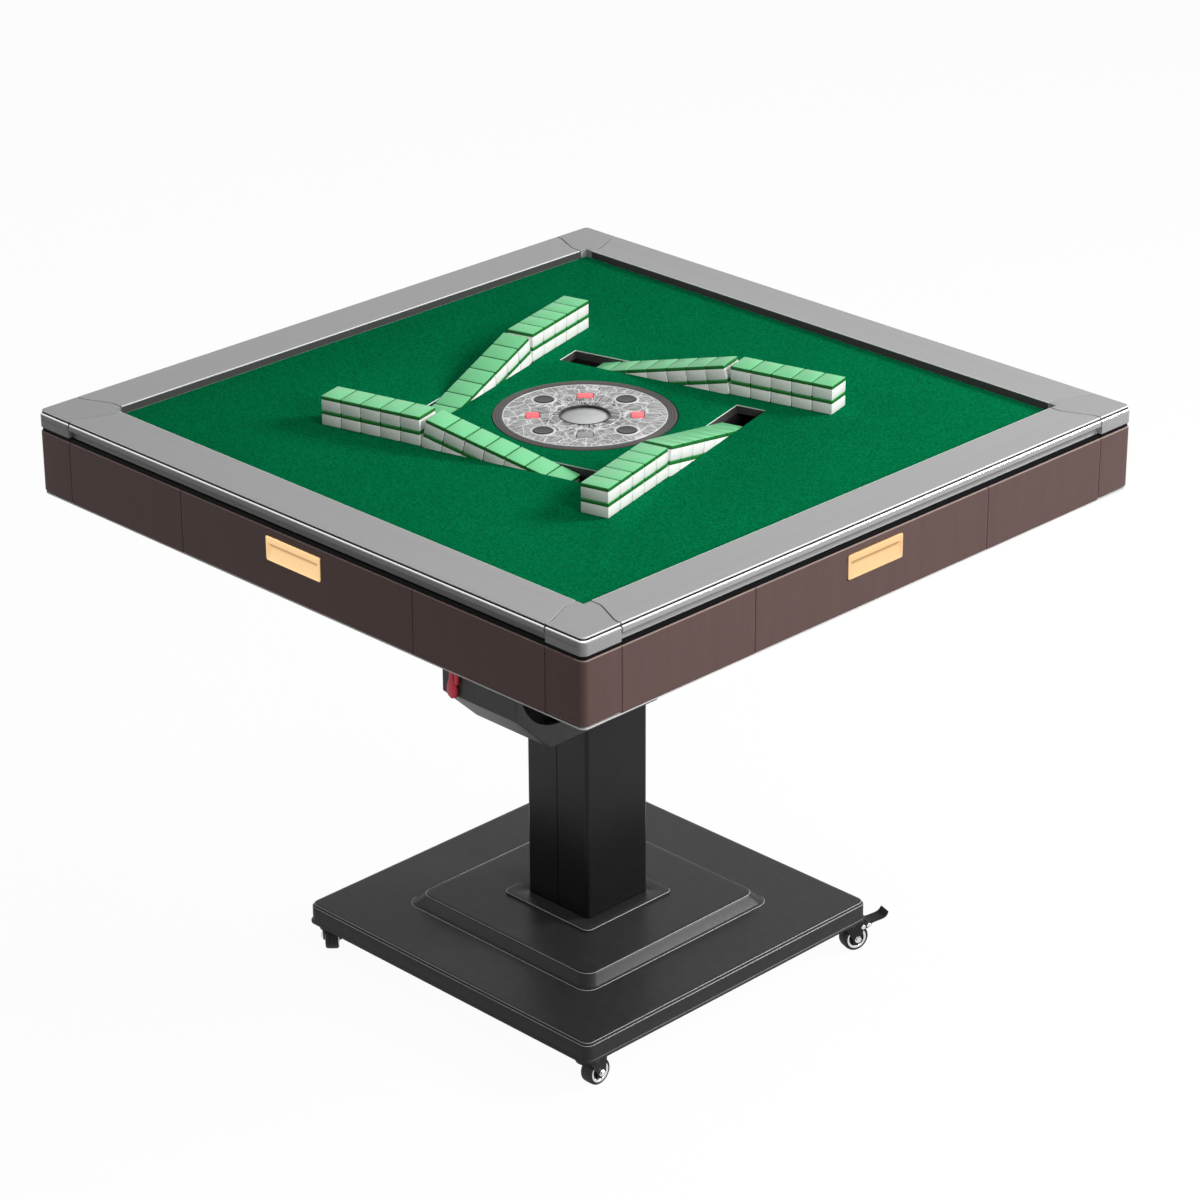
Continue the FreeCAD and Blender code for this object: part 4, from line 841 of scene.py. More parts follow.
@dataclass
class Apron:
    """Brown apron: fixed panels, rounded posts, and a drawer with a gold pull on each side."""

    half: float = 500.0
    thickness: float = 12.0
    low: float = 691.0
    high: float = 776.0
    edge: float = 0.9
    flat: float = 1.5
    post_low: float = 693.5
    post_start: float = 437.5
    post_radius: float = 9.0
    post_ease: float = 0.5
    panel: tuple = (213.5, 437.0)
    panel_corner: float = 1.0
    drawer_half: float = 213.0
    drawer_low: float = 691.3
    drawer_back: float = 488.5
    box: tuple = (190.0, 60.0, 428.5, 700.0, 745.0, 3.0)
    box_edge: float = 0.6
    box_fillet: float = 2.0
    pull: tuple = (50.0, 16.5, 750.0, 3.0)
    pull_face: float = 501.5
    recess: tuple = (46.2, 11.1, 746.2)
    recess_round: float = 1.6
    recess_depth: tuple = (0.05, 0.1, 2.6)
    recess_steps: tuple = (0.0, 0.2, 0.6, 1.0, 1.6, 2.2, 3.0, 5.0, 7.5, 10.4)

    def post(self) -> Array:
        """Corner post: a flat section with rounded edges carried round the corner."""
        e, t = self.edge, self.thickness
        low, high = self.post_low + e, self.high - e
        section = np.concatenate([
            arc((e, low), e, 270, 180, 4), [(0.0, low + self.flat), (0.0, high - self.flat)],
            arc((e, high), e, 180, 90, 4), arc((t - e, high), e, 90, 0, 3), arc((t - e, low), e, 0, -90, 3)])
        eased = section + self.post_ease * inward(section)
        return Corner(self.half, self.post_radius, self.post_start, self.post_ease).walls(section, eased)

    def panels(self) -> list[Array]:
        """The two fixed panels of the front."""
        start, end = self.panel
        half_z = (self.high - self.low) / 2
        return [upright(slab((end - start) / 2, half_z, self.panel_corner, self.half - self.thickness, self.half,
                             self.edge, centre=(sign * (start + end) / 2, self.low + half_z), flat=self.flat))
                for sign in (-1, 1)]

    def drawer_front(self) -> Array:
        """Drawer front: rings from its pull hole out over the face, round the edge and back."""
        px, pz, pull_z, _ = self.pull
        half_x, half_z = self.drawer_half, (self.high - self.drawer_low) / 2
        mid, e, face, back = self.drawer_low + half_z, self.edge, self.half, self.drawer_back
        hole = ((0.2, 1.2, back), (0.2, 1.2, face - 0.5), (0.7, 1.5, face), (0.7 + self.flat, 2.5, face))
        rim = ((e + self.flat, 0.2, face), (e, 0.2, face), (0.3 * e, 0.8, face - 0.3 * e), (0.0, 1.0, face - e),
               (0.0, 1.0, back + e), (e, 0.5, back))
        rows = [(px + out, pz + out, r, level, pull_z) for out, r, level in hole]
        rows += [(half_x - inset, half_z - inset, r, level, mid) for inset, r, level in rim]
        hx, hz, r, level, cz = np.array(rows).T
        return upright(rounded_rings(hx, hz, r, level, 3, (0.0, cz)))

    def drawer_box(self) -> Array:
        """Open box behind a front: outside, rim, inside and floor."""
        hx, hy, mid, low, high, wall = self.box
        e, fillet = self.box_edge, self.box_fillet
        rows = [(0.0, low), (0.0, high - e), (e, high), (wall - e, high), (wall, high - e),
                (wall, low + wall + fillet), (wall + e, low + wall + e), (wall + fillet, low + wall)]
        inset, level = np.array(rows).T
        return rounded_rings(hx - inset, hy - inset, np.maximum(wall - inset, 0.3), level, 3, (0.0, -mid))

    def pull_cup(self) -> Array:
        """Pull: a plate with a rim, and a scoop that deepens from the sill to under the lip.

        Depth at a point is (sill depth + share up the scoop times the rest) times a quarter circle of the
        distance from the scoop's edge.
        """
        hx, hz, mid, corner = self.pull
        rx, rz, scoop_z = self.recess
        face = self.pull_face
        edges = ((0.0, 0.0, self.drawer_back), (0.0, 0.0, face - 0.8), (0.25, 0.2, face - 0.25), (0.8, 0.7, face))
        rows = [(hx - inset, hz - inset, corner - less, level, mid) for inset, less, level in edges]
        ax, az, r, level, cz = np.array(rows + [(rx + 0.5, rz + 0.5, 2.6, face, scoop_z)]).T
        rim = rounded_rings(ax, az, r, level, 5, (0.0, cz))
        step = np.array(self.recess_steps)
        scoop = rounded_rings(rx - step, rz - step, np.maximum(2.4 - step, 0.1), face, 5, (0.0, scoop_z))
        up = np.clip((scoop[..., 1] - scoop_z + rz) / (2 * rz), 0, 1)
        near = np.clip(step / self.recess_round, 0, 1)[:, None]
        lip, sill, rest = self.recess_depth
        scoop[..., 2] -= lip + (sill + rest * np.sin(up * math.pi / 2)) * np.sqrt(1 - (1 - near) ** 2)
        return upright(np.concatenate([rim, scoop]))

    def build(self) -> None:
        """Panels and posts on the top; front, box and pull on each drawer."""
        fixed = Mesher()
        for panel in self.panels():
            fixed.quarters(panel)
        fixed.build("apron_panel_boards", LAMINATE, "top", "apron_brown", "apron_panels")
        Mesher().quarters(self.post(), Join.STRIP).build("apron_corner_posts", LAMINATE, "top", "apron_brown",
                                                         "apron_posts")
        front, box, cup = self.drawer_front(), self.drawer_box(), self.pull_cup()
        for turn, side in enumerate(SIDES):
            drawer = "drawer_" + side
            piece(turned(front, 90 * turn), Join.RING, "drawer_face_" + side, LAMINATE, drawer, "apron_brown", drawer)
            piece(turned(box, 90 * turn), Join.BLOCK, "drawer_box_" + side, MOULDED, drawer, "black_plastic", drawer)
            piece(turned(cup, 90 * turn), Join.BLOCK, "pull_cup_" + side, GILT, drawer, "pull_gold",
                  "drawer_pull_" + side, sharp=32.0)


@dataclass
class PlayingCloth:
    """Green cloth stretched over the board, cut out for the console and the four tile slots."""

    half: float = 430.0
    low: float = 792.0
    high: float = 794.0
    edge: float = 0.7
    hole_radius: float = 121.0
    slot: tuple = (128.5, 21.0, 1.5)
    slot_offset: float = 175.0
    slot_turn: float = 15.0

    def build(self) -> None:
        """The cloth as one cut sheet."""
        half_x, half_y, corner = self.slot
        square = rounded_rings(self.half, self.half, corner, 0.0, 3)[0, :, :2]
        hole = lathe([(self.hole_radius, 0.0)], 128)[0, :, :2]
        slot = rounded_rings(half_x, half_y, corner, 0.0, 3, (0.0, -self.slot_offset))[0]
        cuts = [turned(slot, self.slot_turn + 90 * turn)[:, :2] for turn in range(4)]
        mesh = cut_sheet([square, hole] + cuts, self.low, self.high, self.edge)
        cloth = placed("playing_cloth", mesh, FELT, "top", "felt_green", "felt")


@dataclass
class TileWalls:
    """Four walls of tiles, two high: level stacks, then stacks that come up the ramp."""

    length: float = 40.0
    width: float = 30.0
    gap: float = 0.2
    crack: float = 0.5
    thickness: float = 20.0
    back: float = 5.0
    corner: float = 1.7
    edge: float = 1.6
    joint_edge: float = 0.25
    floor: float = 794.0
    offset: float = 175.0
    wall_turn: float = 15.0
    slope: float = 13.2
    slot_half: float = 128.5
    flat_stacks: int = 5
    ramp_stacks: int = 7
    layers: int = 2

    def shapes(self) -> tuple[Array, Array]:
        """White body and green back of one tile, standing on the middle of its underside."""
        outline = (self.width - self.gap - self.crack) / 2, (self.length - self.crack) / 2, self.corner
        joint = self.thickness - self.back
        return (slab(*outline, 0.0, joint, self.joint_edge, self.edge, steps=2, rounds=3),
                slab(*outline, joint, self.thickness, self.edge, self.joint_edge, steps=2, rounds=3))

    def wall(self, tile: Array) -> list[Array]:
        """Copies of a tile for every place of the front wall."""
        copies = []
        first = -self.slot_half - self.width * self.flat_stacks
        for stack in range(self.flat_stacks + self.ramp_stacks):
            x = first + self.width * stack + (self.width - self.gap) / 2
            for layer in range(self.layers):
                copy = tile + np.array([x, -self.offset, self.floor + self.thickness * layer])
                if stack >= self.flat_stacks:
                    copy = tipped(copy, self.slope, (-self.slot_half, -self.offset, self.floor))
                copies.append(turned(copy, self.wall_turn))
        return copies

    def build(self) -> None:
        """All bodies as one piece and all backs as another."""
        body, back = self.shapes()
        for name, tile, finish, slot, node in (("tile_wall_bodies", body, TILE_WHITE, "tile_white", "tile_bodies"),
                                               ("tile_wall_backs", back, TILE_GREEN, "tile_green", "tile_backs")):
            mesher = Mesher()
            for copy in self.wall(tile):
                mesher.quarters(copy)
            mesher.build(name, finish, "top", slot, node)


@dataclass
class Console:
    """Round console in the middle: ring and pan, silver face, buttons, lenses, cover and dice."""

    ring: tuple = ((3.05, 764.0), (119.3, 764.0), (120.0, 764.7), (120.0, 793.4), (119.7, 794.2), (118.9, 794.5),
                   (116.4, 794.5), (115.9, 794.0), (115.4, 794.5), (112.4, 794.5), (111.9, 794.0), (111.4, 794.5),
                   (109.0, 794.5), (108.3, 794.3), (108.0, 793.8), (108.0, 790.0), (104.0, 790.0), (104.0, 786.0),
                   (116.0, 786.0), (116.0, 767.0), (32.7, 767.0), (32.7, 790.0), (29.5, 790.0), (29.5, 767.0),
                   (7.0, 767.0), (7.0, 774.7), (3.05, 774.7))
    face_radius: float = 107.8
    face: tuple = (790.0, 794.0)
    face_edge: float = 0.2
    hole_radius: float = 32.7
    cover_radius: float = 31.6
    cover_foot: float = 789.0
    cover_edge: float = 791.2
    cover_top: float = 795.2
    cover_wall: float = 2.0
    button_hole: float = 13.3
    button_circle: float = 76.0
    button: tuple = ((0.0, 787.7), (15.5, 787.7), (15.5, 789.7), (13.0, 789.7), (13.0, 794.6), (12.75, 795.2),
                     (12.1, 795.5), (11.2, 795.45), (9.0, 795.15), (5.0, 794.95), (0.0, 794.9))
    bezel: tuple = ((13.5, 793.9), (17.2, 793.9), (17.0, 794.35), (16.2, 794.7), (14.6, 794.7), (13.7, 794.4))
    inner_rim: tuple = ((31.75, 790.2), (32.55, 790.2), (32.6, 793.9), (34.3, 793.9), (34.1, 794.4), (33.6, 794.6),
                        (32.4, 794.6), (31.9, 794.4), (31.75, 794.1))
    outer_rim: tuple = ((105.6, 793.9), (107.0, 793.9), (106.8, 794.2), (106.3, 794.3), (105.8, 794.2))
    mid_rim: tuple = ((45.4, 793.9), (46.8, 793.9), (46.6, 794.15), (46.1, 794.25), (45.6, 794.15))
    lens: tuple = (9.0, 11.0, 3.0, 68.0)
    lens_play: tuple = (0.6, 0.2)
    lens_rise: float = 0.5
    lens_edges: tuple = (0.9, 0.2)
    plate: tuple = ((0.0, 764.0), (3.0, 764.0), (3.0, 774.9), (26.6, 775.0), (27.0, 775.4), (27.0, 777.6),
                    (26.6, 778.0), (0.0, 778.0))
    die: tuple = (12.0, 9.0, 1.4)
    die_turns: tuple = (20.0, -15.0)
    pip: tuple = ((1.2, 0.0), (1.2, 0.12), (0.9, 0.2), (0.0, 0.2))

    def build(self) -> None:
        """Every piece of the console, in its place on the lift."""
        piece(lathe(self.ring, 128), Join.RING, "console_pan", RING_GREY, "console", "console_dark", "console_ring")
        self.build_face()
        self.build_cover()
        self.build_buttons()
        self.build_lenses()
        self.build_dice()

    def at(self, grid: Array, circle: float, angle: float) -> Array:
        """Grid moved out from the middle and turned to an angle."""
        return turned(grid + np.array([circle, 0, 0]), angle)

    def build_face(self) -> None:
        """Face with its holes, and the fine raised rims on it; the dark collar round the cover paints shade into its
        recess.
        """
        half_x, half_y, corner, circle = self.lens
        play = self.lens_play[1]
        hole = lathe([(self.button_hole, 0.0)], 64)
        window = rounded_rings(half_x + play, half_y + play, corner, 0.0, 5)
        loops = [lathe([(self.face_radius, 0.0)], 128), lathe([(self.hole_radius, 0.0)], 96)]
        for turn in range(4):
            loops += [self.at(hole, self.button_circle, 90 * turn), self.at(window, circle, 90 * turn + 45)]
        mesh = cut_sheet([loop[0, :, :2] for loop in loops], *self.face, self.face_edge)
        labels = ("console", "console_silver", "console_face")
        placed("console_cast_face", mesh, FACE_SILVER, *labels)
        # The collar's dark finish paints the shade in the recess round the cover.
        piece(lathe(self.inner_rim, 128), Join.RING, "console_cover_rim", BUTTON, *labels)
        trim = Mesher()
        for rim in (self.mid_rim, self.outer_rim):
            trim.add(lathe(rim, 128), Join.RING)
        for turn in range(4):
            trim.add(self.at(lathe(self.bezel, 64), self.button_circle, 90 * turn), Join.RING)
        trim.build("console_rims", TRIM_SILVER, *labels)

    def build_cover(self) -> None:
        """Shallow cover, sunk in its collar: height falls from the crown with the square of the radius."""
        r = np.linspace(1.0, 0.0, 14)
        foot, edge, outside = self.cover_foot, self.cover_edge, self.cover_radius
        inside = outside - self.cover_wall
        height = edge + (self.cover_top - edge) * (1 - r ** 2)
        outer = np.stack([np.maximum((outside - 0.1) * r, 0.01), height], -1)
        inner = np.stack([np.maximum(inside * r, 0.01), height - self.cover_wall], -1)[::-1]
        section = np.concatenate([[(inside, foot), (outside, foot), (outside, edge - 0.3)], outer, inner])
        piece(lathe(section, 96), Join.RING, "dice_cover", DOME, "console", "dome_clear", "dice_dome")

    def build_buttons(self) -> None:
        """Dished push buttons, each on its own body."""
        for turn, place in enumerate(("right", "back", "left", "front")):
            grid = self.at(lathe(self.button, 64), self.button_circle, 90 * turn)
            piece(grid, Join.OPEN, "push_button_" + place, BUTTON, "button_" + place, "button_dark",
                  "console_button_" + place)

    def build_lenses(self) -> None:
        """Three lit lenses and one that is off."""
        half_x, half_y, corner, circle = self.lens
        play = self.lens_play[0]
        low, high = self.face
        lens = slab(half_x - play, half_y - play, corner, low, high + self.lens_rise, *self.lens_edges, steps=5)
        for name, finish, angles in (("signal_lenses_lit", RED_LENS, (45, 135, 225)),
                                     ("signal_lens_off", GREY_LENS, (315,))):
            mesher = Mesher()
            for angle in angles:
                mesher.add(self.at(lens, circle, angle))
            mesher.build(name, finish, "console", "signal_red", "signal_windows")

    def build_dice(self) -> None:
        """Spinning plate, two dice on it, and their pips."""
        piece(lathe(self.plate, 64), Join.OPEN, "dice_turning_plate", MOULDED, "dice_plate", "black_plastic",
              "dice_plate")
        size, spread, edge = self.die
        floor, q = self.plate[-1][1], size / 4
        cube = slab(size / 2, size / 2, edge, floor, floor + size, edge, steps=3)
        dot = lathe(self.pip, 12)
        cubes, pips = Mesher(), Mesher()
        marks = (((-q, -q), (q, q), (0, 0), (-q, q), (q, -q)), ((-q, -q), (q, q)))
        for side, angle, spots in zip((-1, 1), self.die_turns, marks):
            offset = np.array([side * spread, 0, 0])
            cubes.add(turned(cube, angle) + offset)
            for x, y in spots:
                pips.add(turned(dot + np.array([x, y, floor + size]), angle) + offset)
        cubes.build("dice_pair", DICE, "dice_plate", "tile_white", "dice_plate")
        pips.build("dice_pips", LEVER_RED, "dice_plate", "lever_red", "dice_plate")


@dataclass
class Stand:
    """Base cover, flange and the two covers of the column; rows are half width, corner radius and height."""

    cover: tuple = (
        (272.0, 13.0, 49.0), (272.0, 13.0, 51.4), (271.6, 12.8, 52.2), (270.6, 12.4, 52.6), (270.1, 12.2, 53.4),
        (270.0, 12.0, 55.0), (270.0, 12.0, 72.4), (269.7, 12.0, 73.2), (269.0, 11.6, 73.7), (268.2, 11.4, 73.8),
        (267.9, 11.2, 74.2), (267.9, 11.2, 75.6), (267.5, 11.0, 76.6), (266.7, 10.6, 77.2), (265.6, 10.2, 77.4),
        (262.0, 9.0, 77.4), (179.5, 21.0, 77.4), (177.0, 20.0, 77.4), (174.6, 19.6, 77.7), (172.6, 19.0, 78.8),
        (171.2, 18.6, 80.4), (163.4, 18.0, 89.2), (162.2, 17.6, 90.8), (160.6, 17.0, 91.8), (158.6, 16.4, 92.2),
        (155.5, 15.0, 92.2), (46.0, 2.0, 92.2), (46.0, 2.0, 89.2), (157.0, 15.0, 89.2), (168.0, 16.0, 76.0),
        (171.0, 16.0, 74.4), (262.0, 8.0, 74.4), (266.0, 10.0, 71.0), (266.0, 10.0, 49.0))
    flange: tuple = (
        (82.0, 10.0, 92.2), (82.0, 10.0, 94.0), (81.7, 9.8, 94.7), (81.0, 9.4, 95.0), (78.0, 8.0, 95.0),
        (58.0, 5.0, 95.0), (57.4, 5.0, 94.7), (57.4, 5.0, 92.2))
    # Places of the painted highlight lines: half width, corner radius and height.
    lines: tuple = ((267.3, 11.0, 76.75), (269.4, 11.8, 73.45), (161.4, 17.2, 91.45), (176.2, 20.0, 77.45),
                    (81.5, 9.7, 94.75))
    line_size: float = 0.55
    column_half: float = 57.2
    column_radius: float = 4.5
    column: tuple = ((0.0, 92.2), (0.0, 420.0), (2.5, 420.0), (2.5, 92.2))
    column_seam: float = 0.4
    column_ease: float = 0.5
    column_flat: float = 1.5

    def half_column(self) -> Array:
        """One cover: its wall section carried round half of the rounded square, with eased ends."""
        section = np.array(self.column)
        eased = section + np.array([1, 0]) * self.column_ease * np.array([[1], [1], [-1], [-1]])
        grids = []
        for shape, back in ((section, self.column_ease), (eased, 0.0)):
            d = shape[:, :1]
            r = self.column_radius - d
            c = self.column_half - self.column_radius
            a, b = (np.radians(np.linspace(start, start + 90, 9))[None] for start in (-90, 0))
            seam, inside = (self.column_seam + back) + 0 * d, (c - self.column_flat) + 0 * d
            wall = self.column_half - d
            x = np.concatenate([seam, inside, c + r * np.cos(a), wall, wall, c + r * np.cos(b), inside, seam], 1)
            y = np.concatenate([-wall, -wall, -c + r * np.sin(a), -inside, inside, c + r * np.sin(b), wall, wall], 1)
            grids.append(np.stack([x, y, np.repeat(shape[:, 1:], x.shape[1], 1)], -1))
        return np.concatenate([grids[1][:, :1], grids[0], grids[1][:, -1:]], 1)

    def build(self) -> None:
        """The covers as closed shells, and painted highlights as light lines on their edges."""
        for rows, steps, name, node in ((self.cover, 8, "base_pressed_cover", "base_cover"),
                                        (self.flange, 6, "column_foot_plate", "column_flange")):
            half, radius, level = np.array(rows).T
            piece(rounded_rings(half, half, radius, level, steps), Join.RING, name, COATED, "base", "black_paint", node,
                  sharp=50.0)
        edges = Mesher()
        out, up = self.line_size * np.array([(0.0, 1.0, 0.0, -1.0), (-1.0, 0.0, 1.0, 0.0)])
        for half, corner, z in self.lines:
            edges.add(rounded_rings(half + out, half + out, corner, z + up, 8), Join.RING)
        edges.build("base_edge_lines", BASE_EDGE_HIGHLIGHT, "base", "black_paint")
        for name, turn in (("right", 0), ("left", 180)):
            piece(turned(self.half_column(), turn), Join.STRIP, "column_half_" + name, COLUMN, "base", "black_plastic",
                  "column_cover_" + name)


@dataclass
class Lever:
    """Red release lever: a hanging paddle and a shorter prong, with rounded edges."""

    x: float = -47.3
    pivot: float = 512.5
    front: float = 202.0
    back: float = 197.0
    paddle: tuple = ((1.5, 10.0), (7.0, 7.2), (9.6, 2.8), (9.4, -3.0), (7.0, -8.0), (5.2, -14.0), (4.4, -24.0),
                     (4.2, -36.0), (4.6, -44.0), (7.4, -51.0), (9.2, -57.0), (9.4, -62.5), (7.2, -69.2), (1.5, -72.4))
    prong: tuple = ((3.4, 3.0), (3.4, -8.0), (3.4, -40.0), (3.3, -47.0), (2.2, -49.8), (0.8, -50.4))
    prong_x: float = 9.0
    edge: tuple = (1.6, 0.5, 0.0)
    bridge: tuple = (6.0, 3.0, 1.0, 197.3, 201.7, 0.8)
    shaft: tuple = ((0.0, 185.0), (9.0, 185.0), (9.0, 191.0), (6.0, 191.0), (6.0, 198.0), (0.0, 198.0))

    def blade(self, shape: tuple, shift: float) -> Array:
        """Rings of a flat blade: its half widths mirrored, drawn in at both faces by a rounded edge."""
        half, drop = np.array(shape).T
        fine = np.linspace(0, len(half) - 1, 4 * len(half))
        half, drop = (np.interp(fine, np.arange(len(values)), values) for values in (half, drop))
        outline = np.concatenate([np.stack([half, drop], -1), np.stack([-half, drop], -1)[::-1]])
        edge = np.array(self.edge)
        inset = np.concatenate([edge, edge[::-1]])[:, None, None]
        level = np.concatenate([self.back + edge[::-1], self.front - edge])[:, None, None]
        plan = outline + inset * inward(outline) + np.array([self.x + shift, self.pivot])
        return upright(np.concatenate([plan, np.broadcast_to(level, plan.shape[:2] + (1,))], -1))

    def build(self) -> None:
        """Paddle, prong, the bridge between them and the shaft into the head."""
        mesher = Mesher().add(self.blade(self.paddle, 0.0)).add(self.blade(self.prong, self.prong_x))
        mesher.add(upright(slab(*self.bridge, centre=(self.x + self.prong_x / 2, self.pivot))))
        mesher.add(upright(lathe(self.shaft, 32) + np.array([self.x, self.pivot, 0])), Join.OPEN)
        mesher.build("release_handle", LEVER_RED, "release_lever", "lever_red", "release_lever")


@dataclass
class Casters:
    """Four swivel casters: tyre, plated hub, bolts, and a pedal on the braked ones."""

    at: float = 249.0
    trail: float = 14.0
    axle: float = 19.0
    corners: tuple = (("front_right", 1, -1, 90.0, False), ("back_right", 1, 1, 72.0, True),
                      ("back_left", -1, 1, 60.0, True), ("front_left", -1, -1, 135.0, False))
    tyre: tuple = ((14.4, -9.0), (16.6, -9.0), (17.6, -8.7), (18.4, -7.8), (18.8, -6.0), (18.95, -3.6), (18.6, -3.3),
                   (18.6, -2.9), (18.97, -2.6))
    tread: tuple = (19.0, 0.0)
    rim: tuple = ((14.5, -9.2), (13.6, -9.5), (12.2, -9.4), (11.3, -8.8), (10.9, -7.6))
    disc: tuple = ((10.9, -6.4), (6.0, -6.4), (5.4, -7.0), (5.2, -9.2), (4.8, -9.5), (3.05, -9.5))
    rib: tuple = (2.6, 0.9, 0.4, -8.2, 8.2, 0.5)
    rib_place: float = 8.0
    ribs: int = 6
    bolt: tuple = ((0.0, 12.3), (5.2, 12.3), (5.2, 13.0), (4.2, 13.1), (4.2, 15.2), (3.7, 15.7), (0.0, 15.7))
    rivet: tuple = ((0.0, 12.3), (3.6, 12.3), (3.5, 13.1), (2.9, 13.7), (1.6, 14.0), (0.0, 14.1))
    rivets: tuple = ((31.0, 37.0), (22.4, 36.2))
    top_plate: tuple = ((0.0, 46.2), (19.4, 46.2), (20.4, 46.8), (20.4, 48.2), (20.0, 48.7), (0.0, 48.7))
    pedal: tuple = ((-3.6, 0.0), (-2.4, 2.6), (0.0, 3.6), (3.0, 2.6), (10.0, 1.7), (22.0, 1.7), (26.0, 2.2),
                    (29.5, 4.0), (32.4, 7.2), (34.0, 7.2), (34.4, 6.0), (32.2, 1.8), (28.6, -0.6), (24.0, -1.3),
                    (10.0, -1.3), (3.0, -2.4), (0.0, -3.6), (-2.4, -2.6))
    pedal_half: float = 9.4
    pedal_edge: float = 0.6
    pedal_tilt: float = 8.0

    def across(self, grid: Array, centre: tuple | None = None) -> Array:
        """Shape about the upright axis laid across the trail: (a, b, c) becomes (a, -c, b), then moved to a centre."""
        x, z = centre or (self.trail, self.axle)
        return upright(grid) + np.array([x, 0, z])

    def build(self) -> None:
        """Every caster, turned to its own trail direction."""
        for corner, sign_x, sign_y, angle, braked in self.corners:
            place = np.array([sign_x * self.at, sign_y * self.at, 0])
            self.build_wheel(corner, angle, place)
            self.build_hardware(corner, angle, place, braked)
            if braked:
                self.build_pedal(corner, angle, place)

    def build_wheel(self, corner: str, angle: float, place: Array) -> None:
        """Grooved tyre, bright rim, and a dark disc with ribs."""
        body, node = "wheel_" + corner, "caster_wheel_" + corner
        rib = slab(*self.rib, steps=2, rounds=2, centre=(self.rib_place, 0.0))
        for name, finish, slot, profile, ribs in (("tyre_", TYRE, "caster_tyre", mirrored(self.tyre, self.tread), 0),
                                                  ("rim_", CHROME, "caster_chrome", mirrored(self.rim), 0),
                                                  ("hub_", FORK, "caster_tyre", mirrored(self.disc), self.ribs)):
            mesher = Mesher().add(turned(self.across(lathe(profile, 64)), angle) + place, Join.RING)
            for step in range(ribs):
                mesher.add(turned(self.across(turned(rib, 360 * step / ribs)), angle) + place)
            mesher.build(name + corner, finish, body, slot, node)

    def build_hardware(self, corner: str, angle: float, place: Array, braked: bool) -> None:
        """Axle bolts and rivets in bright plate, and the round plate over the swivel."""
        bolts = Mesher()
        grids = [self.across(lathe(self.bolt, 6))]
        grids += [self.across(lathe(self.rivet, 20), centre) for centre in self.rivets if braked]
        for sign in (1, -1):
            for grid in grids:
                bolts.add(turned(grid * np.array([1, sign, 1]), angle) + place, Join.OPEN)
        bolts.build("caster_bolts_" + corner, CHROME, "caster_" + corner, "caster_chrome")
        piece(lathe(self.top_plate, 48) + place, Join.OPEN, "caster_top_plate_" + corner, FORK, "base", "black_paint")

    def build_pedal(self, corner: str, angle: float, place: Array) -> None:
        """Pedal: its bent section carried across its width, with eased ends."""
        pivot_x, pivot_z = self.rivets[0]
        section = np.array(self.pedal)
        eased = section + self.pedal_edge * inward(section)
        end, inside = self.pedal_half, self.pedal_half - self.pedal_edge
        columns = [np.stack([shape[:, 0], np.full(len(shape), y), shape[:, 1]], -1)
                   for shape, y in ((eased, -end), (section, -inside), (section, inside), (eased, end))]
        grid = tipped(np.stack(columns, 1), -self.pedal_tilt, (0, 0, 0)) + np.array([pivot_x, 0, pivot_z])
        piece(turned(grid, angle) + place, Join.STRIP, "foot_pedal_" + corner, MOULDED, "pedal_" + corner,
              "black_plastic", "brake_pedal_" + corner)


@dataclass
class Inlet:
    """Pins inside the mains inlet of the fold head."""

    back: float = -54.2
    level: float = 483.0
    y: float = -112.0
    pin: tuple = (1.1, 2.6, 0.5, 0.0, 14.0, 0.6, 0.1)
    pins: tuple = ((-8.0, -1.5), (0.0, 2.5), (8.0, -1.5))

    def build(self) -> None:
        """Three blunt blades in the socket."""
        mesher = Mesher()
        blade = slab(*self.pin, steps=2, rounds=3)
        blade = np.stack([-blade[..., 2], blade[..., 0], blade[..., 1]], -1)
        for y, z in self.pins:
            mesher.add(blade + np.array([self.back, self.y + y, self.level + z]))
        mesher.build("inlet_pins", CHROME, "base", "bare_steel")


# Studio

def posed(place: tuple, *axes: Array) -> Matrix:
    """Matrix that sets an object at a place with three given axes."""
    return Matrix.Translation(place) @ Matrix(np.stack(axes, -1).tolist()).to_4x4()


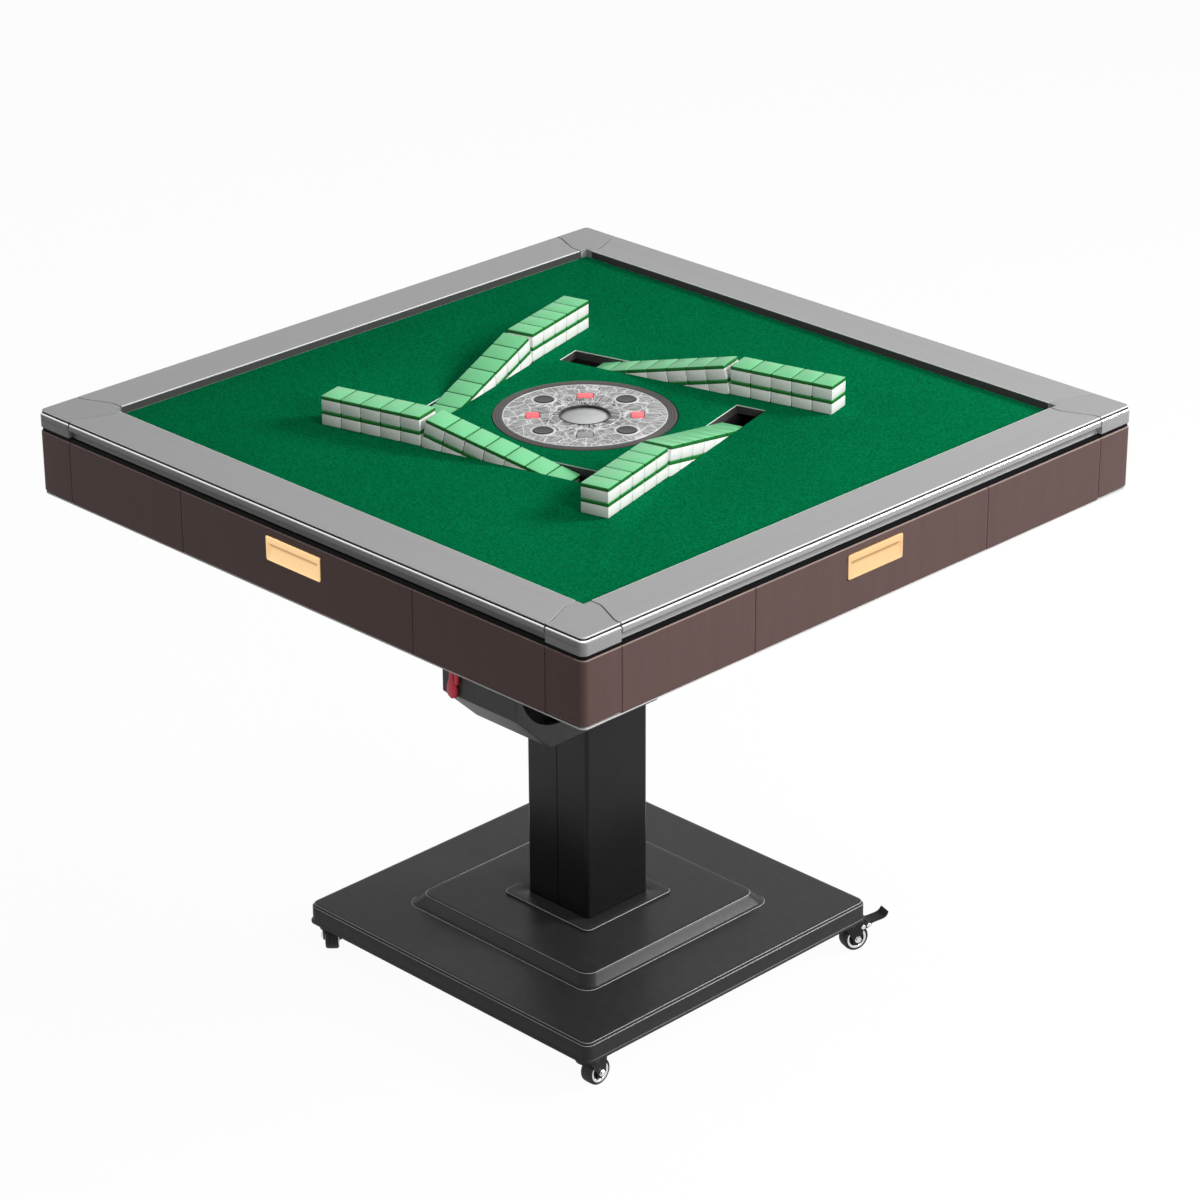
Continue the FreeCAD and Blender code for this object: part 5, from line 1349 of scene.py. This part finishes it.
@dataclass
class Studio:
    """Pale floor, soft light and the camera at the photograph's place."""

    camera_place: tuple = (3.3708, -3.3355, 2.7032)
    azimuth: float = 45.08
    elevation: float = 24.613
    roll: float = -0.258
    focal_px: float = 3951.5
    picture_px: float = 1200.0
    sensor: float = 36.0
    floor_size: float = 40.0
    floor_white: float = 0.45
    floor_show: float = 0.9
    floor_glow: float = 1.06
    world: float = 0.13
    aim: tuple = (0.0, 0.0, 0.6)
    lamps: tuple = (("key_light", (2.4, 3.2, 3.05), 1.4, 190.0), ("side_light", (3.4, -0.5, 2.4), 1.2, 64.0),
                    ("top_light", (0.3, 0.2, 4.0), 2.6, 42.0), ("fill_light", (-2.4, -2.0, 1.2), 1.0, 10.0))

    def build(self) -> None:
        """Camera, world, floor and lamps."""
        bpy.context.scene.view_settings.view_transform = "Standard"
        self.build_camera()
        self.build_world()
        self.build_floor()
        for lamp in self.lamps:
            self.lamp(*lamp)

    def build_camera(self) -> None:
        """Camera that looks along its azimuth and elevation, with a little roll."""
        az, el, roll = (math.radians(v) for v in (self.azimuth, self.elevation, self.roll))
        look = np.array([-math.sin(az) * math.cos(el), math.cos(az) * math.cos(el), -math.sin(el)])
        right = np.array([math.cos(az), math.sin(az), 0])
        rise = np.cross(right, look)
        across = math.cos(roll) * right + math.sin(roll) * rise
        over = math.cos(roll) * rise - math.sin(roll) * right
        data = bpy.data.cameras.new("photo_camera")
        data.sensor_fit = "HORIZONTAL"
        data.sensor_width = self.sensor
        data.lens = self.focal_px / self.picture_px * self.sensor
        camera = linked("photo_camera", data)
        camera.matrix_world = posed(self.camera_place, across, over, -look)
        bpy.context.scene.camera = camera

    def seen(self, nodes: Nodes) -> Socket:
        """1 for rays from the camera, from gloss and through glass, else 0."""
        path = nodes.node("LightPath").outputs
        sight = nodes.math("MAXIMUM", path["Is Camera Ray"], path["Is Glossy Ray"])
        return nodes.math("MAXIMUM", sight, path["Is Transmission Ray"])

    def build_world(self) -> None:
        """White where it is seen, and a plain level of light elsewhere."""
        world = bpy.data.worlds.new("studio_world")
        world.use_nodes = True
        bpy.context.scene.world = world
        nodes = Nodes(world.node_tree)
        light = world.node_tree.nodes["Background"]
        nodes.feed(light, "Color", WHITE)
        nodes.feed(light, "Strength", self.world)
        nodes.show("World Output", self.seen(nodes), light, nodes.node("Background", {"Color": WHITE, "Strength": 1.0}))

    def build_floor(self) -> None:
        """Matt white floor that mostly shows the background's white, so that shadows stay soft on it."""
        half = self.floor_size / 2
        mesh = bpy.data.meshes.new("studio_floor")
        mesh.from_pydata([(-half, -half, 0), (half, -half, 0), (half, half, 0), (-half, half, 0)], [], [(0, 1, 2, 3)])
        paint = Shader("studio_floor")
        paint.tree.nodes.remove(paint.surface)
        matt = paint.node("BsdfDiffuse", {"Color": (self.floor_white,) * 3 + (1.0,)})
        glow = paint.node("Emission", {"Strength": self.floor_glow})
        paint.show("Material Output", paint.math("MULTIPLY", self.seen(paint), self.floor_show), matt, glow)
        mesh.materials.append(paint.material)
        linked("studio_floor", mesh)

    def lamp(self, name: str, place: tuple, size: float, power: float) -> None:
        """Square soft lamp that points at the table top."""
        data = bpy.data.lights.new(name, "AREA")
        data.size = size
        data.energy = power
        away = np.array(place) - np.array(self.aim)
        away = away / np.linalg.norm(away)
        side = np.cross([0, 0, 1], away)
        side = side / np.linalg.norm(side)
        linked(name, data).matrix_world = posed(place, side, np.cross(away, side), away)


def dress_frame() -> None:
    """Give every node of the frame the finish of its material slot."""
    for entry in frame["record"]["subparts"]:
        node = frame["nodes"][entry["node"]]
        node.data.materials.clear()
        finish = NODE_FINISH.get(entry["node"], SLOT_FINISH[entry["material_slot"]])
        node.data.materials.append(finish.material())


def main() -> None:
    """Build the studio and every sub-assembly."""
    logging.basicConfig(level=logging.INFO, format="%(name)s %(message)s")
    dress_frame()
    for part in (Studio(), TopFrame(), Apron(), PlayingCloth(), TileWalls(), Console(), Stand(), Lever(), Casters(),
                 Inlet()):
        LOG.info("building %s", type(part).__name__)
        part.build()
    bpy.context.view_layer.update()


if __name__ == "__main__":
    main()
